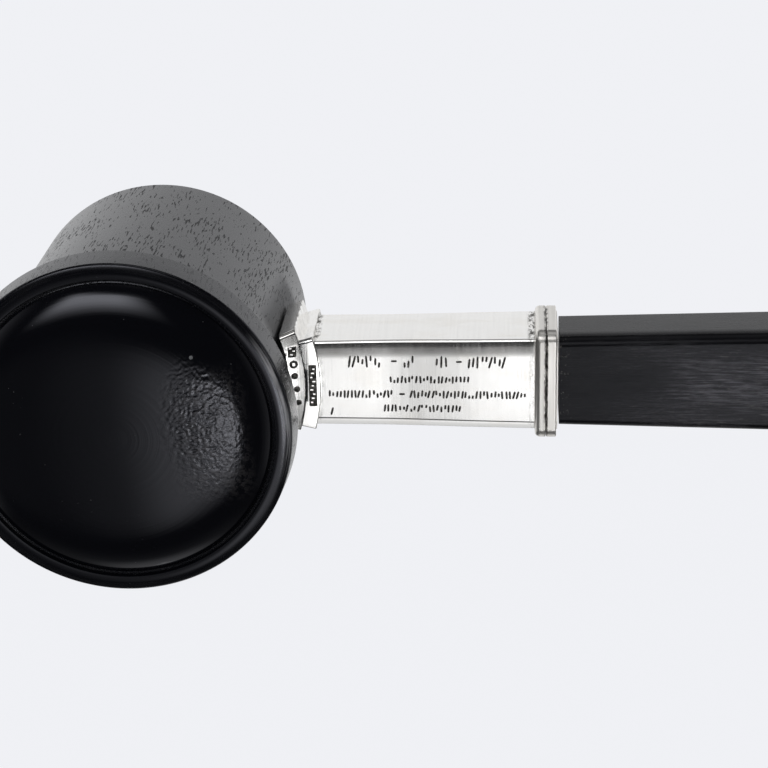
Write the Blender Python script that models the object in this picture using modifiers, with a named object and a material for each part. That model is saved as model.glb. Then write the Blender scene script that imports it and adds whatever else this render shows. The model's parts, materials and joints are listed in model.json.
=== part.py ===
"""Ceremonial gavel lying on its side: ebony head, silver saddle ferrule, ebony handle.

Metres, +Z up. The pieces are modelled in the gavel's own frame: the head is turned about
the Y axis with its striking face at y = 0 and its far end at y = HEAD_LENGTH, and the
handle runs along +X. Two empties then lay the gavel down: it rests on the rim of its
band, on its far rim and on the lower edge of the handle's butt. The world origin is
the bottom centre of the bounding box.
"""

import math

import bmesh
import bpy
from mathutils import Matrix, Vector

# Clearance between two pieces that touch.
GAP = 0.0003

# Head: radii about the Y axis, and distances from the plane of the face.
HEAD_LENGTH = 0.0619
FACE_RADIUS = 0.0310
FACE_ARRIS = 0.0006
RING_INNER_RADIUS = 0.0281
RING_ARRIS = 0.0003
GROOVE_DEPTH = 0.0010
GROOVE_WIDTH = 0.0005
DOME_RADIUS = 0.0274
DOME_CROWN = 0.0035
DOME_EDGE_DROP = 0.0026
DOME_EDGE_POWER = 9
DOME_EDGE_DEPTH = 0.0006
DOME_SHARES = (0, 0.25, 0.45, 0.62, 0.75, 0.85, 0.93, 1.0)
BAND_RADIUS = 0.0314
BAND_WIDTH = 0.0071
BAND_ARRIS = 0.0003
WAIST_RADIUS = 0.0276
WAIST_DISTANCE = 0.0175
COVE_POWER = 2.6
COVE_STEPS = 6
DRUM_SHARES = (0.0, 0.33, 0.67)
FAR_RADIUS = 0.0280
FAR_ARRIS = 0.0005
TURNING_STEPS = 96

# Ferrule and handle: both are bars of rounded rectangular section about one centre line.
BAR_Y = 0.0311
BAR_Z = 0.0003
FERRULE_START = 0.0325
FERRULE_END = 0.0779
FERRULE_HALF_DEPTH = (0.0066, 0.0079)
FERRULE_HALF_HEIGHT = (0.0088, 0.0095)
FERRULE_ARRIS = 0.0021
FERRULE_END_ARRIS = 0.0002
END_NORMAL = 0.99

# Saddle plates: sectors of rings about the head's axis, angles up and down from +X.
PLATE_ARRIS = 0.0003
PLATE_FRONT = 0.0229
INNER_PLATE_RADII = (0.0272, 0.0314)
INNER_PLATE_ANGLES = (-16.9, 20.1)
INNER_PLATE_BACK = 0.0415
OUTER_PLATE_RADII = (0.0312, 0.0341)
OUTER_PLATE_ANGLES = (-14.7, 16.2)
OUTER_PLATE_BACK = 0.0400
PLATE_ARC_STEPS = 12

# Two beads round the ferrule's outer end.
BEAD_RADIUS = 0.0010
BEAD_INSET = 0.0001
BEAD_DISTANCES = (0.0749, 0.0769)

# Handle.
HANDLE_START = FERRULE_END + GAP
HANDLE_END = 0.2080
HANDLE_HALF_DEPTH = (0.0070, 0.0079)
HANDLE_HALF_HEIGHT = (0.0087, 0.0115)
HANDLE_ARRIS = 0.0018
BUTT_ARRIS = 0.0009

EBONY = (0.012, 0.012, 0.014, 1.0)
SILVER = (0.86, 0.86, 0.84, 1.0)


def clear_scene():
    """Remove every object of the open scene."""
    for obj in list(bpy.data.objects):
        bpy.data.objects.remove(obj, do_unlink=True)


def make_collection(name):
    """A new collection linked to the scene."""
    collection = bpy.data.collections.new(name)
    bpy.context.scene.collection.children.link(collection)
    return collection


def make_material(name, colour, roughness, metallic):
    """A plain Principled material."""
    material = bpy.data.materials.new(name)
    material.use_nodes = True
    shader = material.node_tree.nodes["Principled BSDF"]
    shader.inputs["Base Color"].default_value = colour
    shader.inputs["Roughness"].default_value = roughness
    shader.inputs["Metallic"].default_value = metallic
    material.diffuse_color = colour
    return material


def add_object(name, data, collection):
    """A new object for mesh or curve data."""
    obj = bpy.data.objects.new(name, data)
    collection.objects.link(obj)
    return obj


def freeze(obj, transform=None):
    """Turn an object and its modifiers into one plain mesh, moved by the transform."""
    depsgraph = bpy.context.evaluated_depsgraph_get()
    mesh = bpy.data.meshes.new_from_object(obj.evaluated_get(depsgraph))
    name = obj.name
    collection = obj.users_collection[0]
    bpy.data.objects.remove(obj, do_unlink=True)
    shape = bmesh.new()
    shape.from_mesh(mesh)
    bmesh.ops.remove_doubles(shape, verts=shape.verts, dist=1e-6)
    shape.to_mesh(mesh)
    shape.free()
    if transform is not None:
        mesh.transform(transform)
    return add_object(name, mesh, collection)


def arc(centre, radius, start, end, steps):
    """Points on an arc in the plane, with angles in degrees."""
    points = []
    for step in range(steps + 1):
        angle = math.radians(start + (end - start) * step / steps)
        points.append((centre[0] + radius * math.cos(angle), centre[1] + radius * math.sin(angle)))
    return points


def drum_radius(distance):
    """Radius of the head behind the waist, at a distance from the face."""
    share = (distance - WAIST_DISTANCE) / (HEAD_LENGTH - WAIST_DISTANCE)
    return WAIST_RADIUS + (FAR_RADIUS - WAIST_RADIUS) * share


def dome_outline():
    """The cushioned face from its crown to its rolled edge: (radius, height over the ring)."""
    sag = DOME_CROWN + DOME_EDGE_DEPTH - DOME_EDGE_DROP
    outline = []
    for share in DOME_SHARES:
        drop = sag * share**2 + DOME_EDGE_DROP * share**DOME_EDGE_POWER
        outline.append((DOME_RADIUS * share, DOME_CROWN - drop))
    return outline


def face_outline():
    """Groove, flat ring and the arris of the face."""
    groove_floor = DOME_RADIUS + GROOVE_WIDTH / 2
    outline = [(groove_floor, -GROOVE_DEPTH)]
    outline.append((RING_INNER_RADIUS, -RING_ARRIS))
    outline.append((RING_INNER_RADIUS + RING_ARRIS, 0.0))
    outline += arc((FACE_RADIUS - FACE_ARRIS, -FACE_ARRIS), FACE_ARRIS, 90, 10, 3)
    return outline


def side_outline():
    """Band, cove, waist, tapering drum and plain far end."""
    outline = [(BAND_RADIUS, -BAND_WIDTH + BAND_ARRIS)]
    outline.append((BAND_RADIUS - BAND_ARRIS, -BAND_WIDTH))
    cove_start = BAND_WIDTH + BAND_ARRIS
    cove_depth = BAND_RADIUS - BAND_ARRIS - WAIST_RADIUS
    for step in range(COVE_STEPS):
        share = 1 - step / COVE_STEPS
        distance = WAIST_DISTANCE - (WAIST_DISTANCE - cove_start) * share
        outline.append((WAIST_RADIUS + cove_depth * share**COVE_POWER, -distance))
    for share in DRUM_SHARES:
        distance = WAIST_DISTANCE + (HEAD_LENGTH - WAIST_DISTANCE) * share
        outline.append((drum_radius(distance), -distance))
    corner = (FAR_RADIUS - FAR_ARRIS, -HEAD_LENGTH + FAR_ARRIS)
    outline += arc(corner, FAR_ARRIS, 0, -90, 3)
    outline.append((0.0, -HEAD_LENGTH))
    return outline


def turned(name, outline, collection):
    """A solid turned about Y: the outline gives (radius, height) and +height faces -Y."""
    mesh = bpy.data.meshes.new(name)
    edges = [(i, i + 1) for i in range(len(outline) - 1)]
    mesh.from_pydata([(radius, 0.0, height) for radius, height in outline], edges, [])
    obj = add_object(name, mesh, collection)
    screw = obj.modifiers.new("turning", "SCREW")
    screw.axis = "Z"
    screw.steps = TURNING_STEPS
    screw.render_steps = TURNING_STEPS
    screw.use_merge_vertices = True
    screw.merge_threshold = 0.00001
    half_step = Matrix.Rotation(math.pi / TURNING_STEPS, 4, "Z")
    return freeze(obj, Matrix.Rotation(math.pi / 2, 4, "X") @ half_step)


def tapered_bar(name, ends, half_depths, half_heights, arris, end_arris, collection):
    """A bar along +X whose rectangular section grows, with all its edges rounded."""
    bar = bmesh.new()
    bmesh.ops.create_cube(bar, size=2.0)
    for vert in bar.verts:
        end = 0 if vert.co.x < 0 else 1
        depth = vert.co.y * half_depths[end]
        height = vert.co.z * half_heights[end]
        vert.co = Vector((ends[end], BAR_Y + depth, BAR_Z + height))
    width = max(half_depths + half_heights) * 2
    long_edges = [edge for edge in bar.edges if edge.calc_length() > width]
    bmesh.ops.bevel(bar, geom=long_edges, offset=arris, segments=5, profile=0.5, affect="EDGES")
    end_faces = [face for face in bar.faces if abs(face.normal.x) > END_NORMAL]
    rims = list({edge for face in end_faces for edge in face.edges})
    bmesh.ops.bevel(bar, geom=rims, offset=end_arris, segments=2, profile=0.5, affect="EDGES")
    mesh = bpy.data.meshes.new(name)
    bar.to_mesh(mesh)
    bar.free()
    return add_object(name, mesh, collection)


def saddle_plate(name, radii, angles, back, collection):
    """A plate curved round the head: a sector of a ring about Y with rounded edges."""
    inner = arc((0.0, 0.0), radii[0], angles[0], angles[1], PLATE_ARC_STEPS)
    outer = arc((0.0, 0.0), radii[1], angles[0], angles[1], PLATE_ARC_STEPS)
    outline = outer + inner[::-1]
    curve = bpy.data.curves.new(name, "CURVE")
    curve.dimensions = "2D"
    curve.fill_mode = "BOTH"
    curve.extrude = (back - PLATE_FRONT) / 2
    spline = curve.splines.new("POLY")
    spline.points.add(len(outline) - 1)
    for point, (x, z) in zip(spline.points, outline):
        point.co = (x, z, 0.0, 1.0)
    spline.use_cyclic_u = True
    upright = Matrix.Translation((0.0, (PLATE_FRONT + back) / 2, 0.0)) @ Matrix.Rotation(math.pi / 2, 4, "X")
    plate = freeze(add_object(name, curve, collection), upright)
    bevel = plate.modifiers.new("arris", "BEVEL")
    bevel.width = PLATE_ARRIS
    bevel.segments = 3
    bevel.limit_method = "ANGLE"
    bevel.angle_limit = math.radians(40)
    return freeze(plate)


def ferrule_half_sizes(distance):
    """Half depth and half height of the ferrule's section at a distance from the head's axis."""
    share = (distance - FERRULE_START) / (FERRULE_END - FERRULE_START)
    depth = FERRULE_HALF_DEPTH[0] + (FERRULE_HALF_DEPTH[1] - FERRULE_HALF_DEPTH[0]) * share
    height = FERRULE_HALF_HEIGHT[0] + (FERRULE_HALF_HEIGHT[1] - FERRULE_HALF_HEIGHT[0]) * share
    return depth, height


def bead(name, distance, collection):
    """A half-round bead that runs once round the ferrule's section."""
    depth, height = ferrule_half_sizes(distance)
    corner = FERRULE_ARRIS - BEAD_INSET
    path = []
    for quarter, (side, top) in enumerate(((1, 1), (-1, 1), (-1, -1), (1, -1))):
        centre = (side * (depth - FERRULE_ARRIS), top * (height - FERRULE_ARRIS))
        path += arc(centre, corner, 90 * quarter, 90 * quarter + 90, 5)
    curve = bpy.data.curves.new(name, "CURVE")
    curve.dimensions = "3D"
    curve.bevel_depth = BEAD_RADIUS
    curve.bevel_resolution = 3
    spline = curve.splines.new("POLY")
    spline.points.add(len(path) - 1)
    for point, (y, z) in zip(spline.points, path):
        point.co = (distance, BAR_Y + y, BAR_Z + z, 1.0)
    spline.use_cyclic_u = True
    return freeze(add_object(name, curve, collection))


def combine(target, tool, operation, solver="EXACT"):
    """Join a tool to the target, or cut it away, and remove the tool."""
    boolean = target.modifiers.new(operation.lower(), "BOOLEAN")
    boolean.operation = operation
    boolean.solver = solver
    boolean.object = tool
    result = freeze(target)
    bpy.data.objects.remove(tool, do_unlink=True)
    return result


def seat_cutter(collection):
    """The drum grown by the gap: it hollows the foot of the saddle."""
    outline = [(0.0, -WAIST_DISTANCE)]
    for distance in (WAIST_DISTANCE, HEAD_LENGTH):
        outline.append((drum_radius(distance) + GAP, -distance))
    outline.append((0.0, -HEAD_LENGTH))
    cutter = turned("seat_cutter", outline, collection)
    cutter.hide_render = True
    cutter.display_type = "WIRE"
    return cutter


def build_head(collection):
    """The turned head: cushioned face, ring, band, cove and drum."""
    return turned("head", dome_outline() + face_outline() + side_outline(), collection)


def build_ferrule(collection, cutters):
    """The silver ferrule: a tapered sleeve, two saddle plates and two beads in one piece."""
    ends = (FERRULE_START, FERRULE_END)
    ferrule = tapered_bar(
        "ferrule", ends, FERRULE_HALF_DEPTH, FERRULE_HALF_HEIGHT, FERRULE_ARRIS, FERRULE_END_ARRIS, collection
    )
    outer = saddle_plate("outer_plate", OUTER_PLATE_RADII, OUTER_PLATE_ANGLES, OUTER_PLATE_BACK, collection)
    inner = saddle_plate("inner_plate", INNER_PLATE_RADII, INNER_PLATE_ANGLES, INNER_PLATE_BACK, collection)
    for plate in (outer, inner):
        ferrule = combine(ferrule, plate, "UNION")
    for distance in BEAD_DISTANCES:
        ferrule = combine(ferrule, bead("bead", distance, collection), "UNION")
    return combine(ferrule, seat_cutter(cutters), "DIFFERENCE", solver="MANIFOLD")


def build_handle(collection):
    """The ebony handle: a bar that flares gently to a softly edged butt."""
    ends = (HANDLE_START, HANDLE_END)
    return tapered_bar(
        "handle", ends, HANDLE_HALF_DEPTH, HANDLE_HALF_HEIGHT, HANDLE_ARRIS, BUTT_ARRIS, collection
    )


def lowest(points, turn):
    """Height of the lowest of the points after a rotation."""
    return min((turn @ point).z for point in points)


def level_angle(height_difference, limit):
    """Bisect for the angle below the limit at which a growing height difference is zero."""
    low, high = 0.0, limit
    for _ in range(40):
        middle = (low + high) / 2
        if height_difference(middle) > 0:
            high = middle
        else:
            low = middle
    return (low + high) / 2


def lay_down(head, others, collection):
    """Rest the gavel on its band, far rim and butt, with the box's bottom centre at the origin."""
    points = [vert.co.copy() for vert in head.data.vertices]
    front = [point for point in points if point.y < HEAD_LENGTH / 2]
    back = [point for point in points if point.y >= HEAD_LENGTH / 2]
    bar = [vert.co.copy() for obj in others for vert in obj.data.vertices]

    def tilt_matrix(angle):
        return Matrix.Rotation(-angle, 4, "X")

    def tilt_difference(angle):
        return lowest(front, tilt_matrix(angle)) - lowest(back, tilt_matrix(angle))

    tilt = tilt_matrix(level_angle(tilt_difference, 0.2))

    def droop_difference(angle):
        return lowest(front, tilt) - lowest(bar, tilt @ Matrix.Rotation(angle, 4, "Y"))

    droop = Matrix.Rotation(level_angle(droop_difference, 0.3), 4, "Y")

    corners = [tilt @ point for point in points] + [tilt @ droop @ point for point in bar]
    low = Vector([min(corner[axis] for corner in corners) for axis in range(3)])
    high = Vector([max(corner[axis] for corner in corners) for axis in range(3)])
    base = Vector(((low.x + high.x) / 2, (low.y + high.y) / 2, low.z))

    rest = add_object("rest_pose", None, collection)
    rest.matrix_world = Matrix.Translation(-base) @ tilt
    drooped = add_object("handle_droop", None, collection)
    drooped.parent = rest
    drooped.matrix_local = droop
    head.parent = rest
    for obj in others:
        obj.parent = drooped


def dress(obj, material, sharp_angle):
    """Give a piece its material and smooth shading with crisp edges."""
    obj.data.materials.clear()
    obj.data.materials.append(material)
    obj.data.shade_smooth()
    obj.data.set_sharp_from_angle(angle=math.radians(sharp_angle))


def main():
    """Build the gavel."""
    clear_scene()
    parts = make_collection("ceremonial_gavel")
    cutters = make_collection("cutters")
    head = build_head(parts)
    ferrule = build_ferrule(parts, cutters)
    handle = build_handle(parts)
    dress(head, make_material("head_ebony", EBONY, 0.3, 0.0), 35)
    dress(ferrule, make_material("ferrule_silver", SILVER, 0.25, 1.0), 35)
    dress(handle, make_material("handle_ebony", EBONY, 0.4, 0.0), 35)
    lay_down(head, (ferrule, handle), parts)


main()
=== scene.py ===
"""Looks for a ceremonial gavel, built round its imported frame.

The gavel is a turned ebony head, a silver saddle ferrule and a flared ebony handle. Two
frames are used. The head's frame has its origin at the middle of the striking face, with
+Y along the turning axis. The bar's frame shares that origin and axis, with +X along the
handle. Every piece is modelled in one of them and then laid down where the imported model
lies. Lengths are in metres.
"""

import json
import logging
import math
import random
from collections.abc import Callable, Sequence
from dataclasses import dataclass
from enum import Enum

import bmesh
import bpy
from mathutils import Matrix, Vector

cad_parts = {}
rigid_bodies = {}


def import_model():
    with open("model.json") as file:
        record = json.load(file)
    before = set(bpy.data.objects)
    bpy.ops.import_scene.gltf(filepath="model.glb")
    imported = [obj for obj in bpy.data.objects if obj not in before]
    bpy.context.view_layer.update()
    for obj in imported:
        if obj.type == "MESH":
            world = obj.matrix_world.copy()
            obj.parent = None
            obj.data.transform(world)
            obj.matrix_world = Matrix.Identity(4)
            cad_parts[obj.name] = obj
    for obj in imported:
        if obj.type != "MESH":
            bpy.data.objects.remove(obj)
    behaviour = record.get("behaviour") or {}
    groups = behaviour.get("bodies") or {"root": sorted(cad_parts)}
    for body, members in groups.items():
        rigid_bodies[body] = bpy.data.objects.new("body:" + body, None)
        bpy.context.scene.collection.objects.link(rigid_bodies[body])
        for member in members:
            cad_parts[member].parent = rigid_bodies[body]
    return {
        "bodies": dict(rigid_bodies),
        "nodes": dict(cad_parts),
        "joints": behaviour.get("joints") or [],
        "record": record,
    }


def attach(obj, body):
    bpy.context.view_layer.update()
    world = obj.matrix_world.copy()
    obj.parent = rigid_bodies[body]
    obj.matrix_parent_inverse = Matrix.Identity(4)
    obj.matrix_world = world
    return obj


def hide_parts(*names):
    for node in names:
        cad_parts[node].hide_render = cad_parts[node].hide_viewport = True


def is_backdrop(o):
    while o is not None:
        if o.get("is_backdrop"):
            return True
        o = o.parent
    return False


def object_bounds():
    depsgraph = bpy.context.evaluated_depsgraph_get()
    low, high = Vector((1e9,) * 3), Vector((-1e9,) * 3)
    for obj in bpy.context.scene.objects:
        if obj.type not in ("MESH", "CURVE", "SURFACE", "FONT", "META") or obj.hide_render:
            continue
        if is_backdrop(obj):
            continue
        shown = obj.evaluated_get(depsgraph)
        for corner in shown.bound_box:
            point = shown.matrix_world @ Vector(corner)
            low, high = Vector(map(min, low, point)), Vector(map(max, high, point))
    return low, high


LOG = logging.getLogger("gavel")
HEAD_LENGTH = 0.0619
HEAD_UNIT = 0.031
ALL_ROUND = (-400, -399, 400, 401)  # a window that holds every azimuth
MERGE_DISTANCE = 2e-6
PLANE_TOLERANCE = 1e-5
ROW_TOLERANCE = 2e-5
SHARP_ANGLE = 40  # the least bend of a sharp edge, in degrees
ALONG_AXIS = 0.9  # the least part of a unit direction that counts as along an axis

Piece = bpy.types.Object
Corner = bmesh.types.BMVert
Edge = bmesh.types.BMEdge
Socket = bpy.types.NodeSocket
Value = float | Sequence[float] | Socket
Inputs = dict[str | int, Value]
Colour = tuple[float, float, float, float]
Window = tuple[float, float, float, float]
Pair = tuple[float, float]
Triple = tuple[float, float, float]
Ramp = tuple[float, ...]
Relief = tuple[float, float]


class Slot(Enum):
    """The record's material slots."""

    POLISHED_EBONY = "polished_ebony"
    ENGRAVED_SILVER = "engraved_silver"
    SATIN_EBONY = "satin_ebony"


class Node(Enum):
    """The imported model's nodes."""

    HEAD = "head"
    FERRULE = "ferrule"
    HANDLE = "handle"


# ---------------------------------------------------------------- frames


@dataclass(frozen=True)
class Placement:
    """Where the gavel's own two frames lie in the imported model."""

    head: Matrix
    bar: Matrix

    @staticmethod
    def from_record(record: dict) -> "Placement":
        """Read both frames from the mounts on the far end and on the butt.

        Args:
            record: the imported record.

        Returns:
            The placement of the head's frame and of the bar's frame.
        """
        mounts = {mount["name"]: mount for mount in record["mounts"]}
        turning_axis = Vector(mounts["far_end_face"]["axis"]).normalized()
        bar_axis = Vector(mounts["butt_face"]["axis"])
        bar_axis = (bar_axis - turning_axis * bar_axis.dot(turning_axis)).normalized()
        origin = Vector(mounts["far_end_face"]["pos_m"]) - turning_axis * HEAD_LENGTH
        level = (Vector((1, 0, 0)) - turning_axis * turning_axis.x).normalized()
        return Placement(
            head=Placement.axes(origin, level, turning_axis),
            bar=Placement.axes(origin, bar_axis, turning_axis),
        )

    @staticmethod
    def axes(origin: Vector, along: Vector, turning_axis: Vector) -> Matrix:
        """A frame from its origin, its X axis and its Y axis.

        Args:
            origin: the frame's origin.
            along: the unit X axis.
            turning_axis: the unit Y axis, square to X.

        Returns:
            The frame as a matrix.
        """
        up = along.cross(turning_axis)
        turn = Matrix((along, turning_axis, up)).transposed().to_4x4()
        return Matrix.Translation(origin) @ turn


# ---------------------------------------------------------------- bench


class Bench:
    """The steps that are repeated on every piece."""

    @staticmethod
    def clear() -> None:
        """Leave edit mode and select nothing."""
        if bpy.context.object is not None and bpy.context.object.mode != "OBJECT":
            bpy.ops.object.mode_set(mode="OBJECT")
        bpy.ops.object.select_all(action="DESELECT")

    @staticmethod
    def pick(piece: Piece) -> None:
        """Select one piece only and make it active.

        Args:
            piece: the piece.
        """
        Bench.clear()
        piece.select_set(True)
        bpy.context.view_layer.objects.active = piece

    @staticmethod
    def started(name: str) -> Piece:
        """Name the primitive that was just added.

        Args:
            name: the piece's name.

        Returns:
            The new piece.
        """
        piece = bpy.context.object
        piece.name = name
        piece.data.name = name
        return piece

    @staticmethod
    def edit(piece: Piece, mode: str) -> None:
        """Enter edit mode on a piece with nothing selected.

        Args:
            piece: the piece to shape.
            mode: VERT, EDGE or FACE.
        """
        Bench.pick(piece)
        bpy.ops.object.mode_set(mode="EDIT")
        bpy.ops.mesh.select_mode(type=mode)
        bpy.ops.mesh.select_all(action="DESELECT")

    @staticmethod
    def done() -> None:
        """Leave edit mode."""
        bpy.ops.object.mode_set(mode="OBJECT")

    @staticmethod
    def select(piece: Piece, kind: str, test: Callable[[object], bool]) -> None:
        """Select only what passes a test in edit mode.

        Args:
            piece: the piece in edit mode.
            kind: verts, edges or faces.
            test: says whether an element is wanted.
        """
        bpy.ops.mesh.select_all(action="DESELECT")
        shape = bmesh.from_edit_mesh(piece.data)
        for element in [element for element in getattr(shape, kind) if test(element)]:
            element.select_set(True)
        shape.select_flush_mode()
        bmesh.update_edit_mesh(piece.data)

    @staticmethod
    def tidy(piece: Piece) -> None:
        """Merge doubles and turn all faces outwards.

        Args:
            piece: the piece.
        """
        Bench.edit(piece, "VERT")
        bpy.ops.mesh.select_all(action="SELECT")
        bpy.ops.mesh.remove_doubles(threshold=MERGE_DISTANCE)
        bpy.ops.mesh.normals_make_consistent(inside=False)
        Bench.done()

    @staticmethod
    def apply(piece: Piece, kind: str, **settings: object) -> None:
        """Add a modifier, set it and apply it.

        Args:
            piece: the piece to change.
            kind: the modifier's type.
            settings: its properties.
        """
        Bench.pick(piece)
        modifier = piece.modifiers.new(kind.lower(), kind)
        for name, value in settings.items():
            setattr(modifier, name, value)
        bpy.ops.object.modifier_apply(modifier=modifier.name)

    @staticmethod
    def place(piece: Piece, frame: Matrix) -> None:
        """Lay a piece down and keep its place in its mesh.

        Args:
            piece: a piece modelled in its own frame.
            frame: where that frame lies.
        """
        Bench.pick(piece)
        piece.matrix_world = frame @ piece.matrix_world
        Bench.fix()

    @staticmethod
    def soften(piece: Piece, angle: float) -> None:
        """Shade smooth, with sharp edges kept crisp.

        Args:
            piece: the piece to shade.
            angle: the least bend of a crisp edge, in degrees.
        """
        Bench.pick(piece)
        bpy.ops.object.shade_smooth_by_angle(angle=math.radians(angle))
        Bench.apply(piece, "WEIGHTED_NORMAL", keep_sharp=True, weight=80)

    @staticmethod
    def slice(piece: Piece, place: Sequence[float], normal: Sequence[float]) -> None:
        """Cut a piece's faces along a plane, with nothing taken away.

        Args:
            piece: the piece to cut.
            place: a point of the plane.
            normal: the plane's normal.
        """
        Bench.edit(piece, "VERT")
        bpy.ops.mesh.select_all(action="SELECT")
        bpy.ops.mesh.bisect(plane_co=place, plane_no=normal)
        Bench.done()

    @staticmethod
    def nudge(piece: Piece, test: Callable[[object], bool], shift: Sequence[float]) -> None:
        """Move the corners that pass a test.

        Args:
            piece: the piece to shape.
            test: says whether a corner moves.
            shift: how far it moves.
        """
        Bench.edit(piece, "VERT")
        Bench.select(piece, "verts", test)
        bpy.ops.transform.translate(value=shift)
        Bench.done()

    @staticmethod
    def copy(piece: Piece, frame: Matrix) -> Piece:
        """Copy a piece with a mesh of its own.

        Args:
            piece: the piece to copy.
            frame: where the copy goes.

        Returns:
            The copy.
        """
        twin = piece.copy()
        twin.data = piece.data.copy()
        twin.matrix_world = frame
        bpy.context.collection.objects.link(twin)
        return twin

    @staticmethod
    def bevel(
        piece: Piece, test: Callable[[Edge], bool], size: float, segments: int, profile: float = 0.5
    ) -> None:
        """Round the edges that pass a test.

        Args:
            piece: the piece to shape.
            test: says whether an edge is rounded.
            size: how far the rounding reaches.
            segments: how many facets it has.
            profile: its fullness, 0.5 for a round one.
        """
        Bench.edit(piece, "EDGE")
        Bench.select(piece, "edges", test)
        bpy.ops.mesh.bevel(offset=size, segments=segments, profile=profile, affect="EDGES")
        Bench.done()

    @staticmethod
    def fix() -> None:
        """Keep the active piece's place, turn and scale in its mesh."""
        bpy.ops.object.transform_apply(location=True, rotation=True, scale=True)

    @staticmethod
    def hand_over(piece: Piece, slot: Slot, node: Node | None = None) -> None:
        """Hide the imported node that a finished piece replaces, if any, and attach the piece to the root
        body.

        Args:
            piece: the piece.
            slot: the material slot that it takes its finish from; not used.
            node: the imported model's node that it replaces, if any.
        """
        if node is not None:
            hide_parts(node.value)
        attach(piece, "root")

    @staticmethod
    def join(pieces: Sequence[Piece], name: str) -> Piece:
        """Join pieces into one.

        Args:
            pieces: the pieces, of which the first keeps its origin.
            name: the joined piece's name.

        Returns:
            The joined piece.
        """
        Bench.clear()
        for piece in pieces:
            piece.select_set(True)
        bpy.context.view_layer.objects.active = pieces[0]
        bpy.ops.object.join()
        return Bench.started(name)

    @staticmethod
    def cut(piece: Piece, cutter: Piece) -> None:
        """Cut a tool out of a piece, keep the tool's finish in the cut, and drop the tool.

        Args:
            piece: the piece to cut.
            cutter: the tool.
        """
        settings = {"object": cutter, "material_mode": "TRANSFER", "use_self": True}
        Bench.apply(piece, "BOOLEAN", operation="DIFFERENCE", **settings)
        bpy.data.objects.remove(cutter, do_unlink=True)


# ---------------------------------------------------------------- shader graphs


@dataclass(frozen=True)
class Pattern:
    """The size and shape of cloudy noise.

    It has its cells per unit along each axis, its octaves, how strong the fine ones are, and
    its turn about each axis in degrees.
    """

    cells: Triple
    octaves: float = 2.0
    strength: float = 0.5
    turn: Triple = (0, 0, 0)


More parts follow.
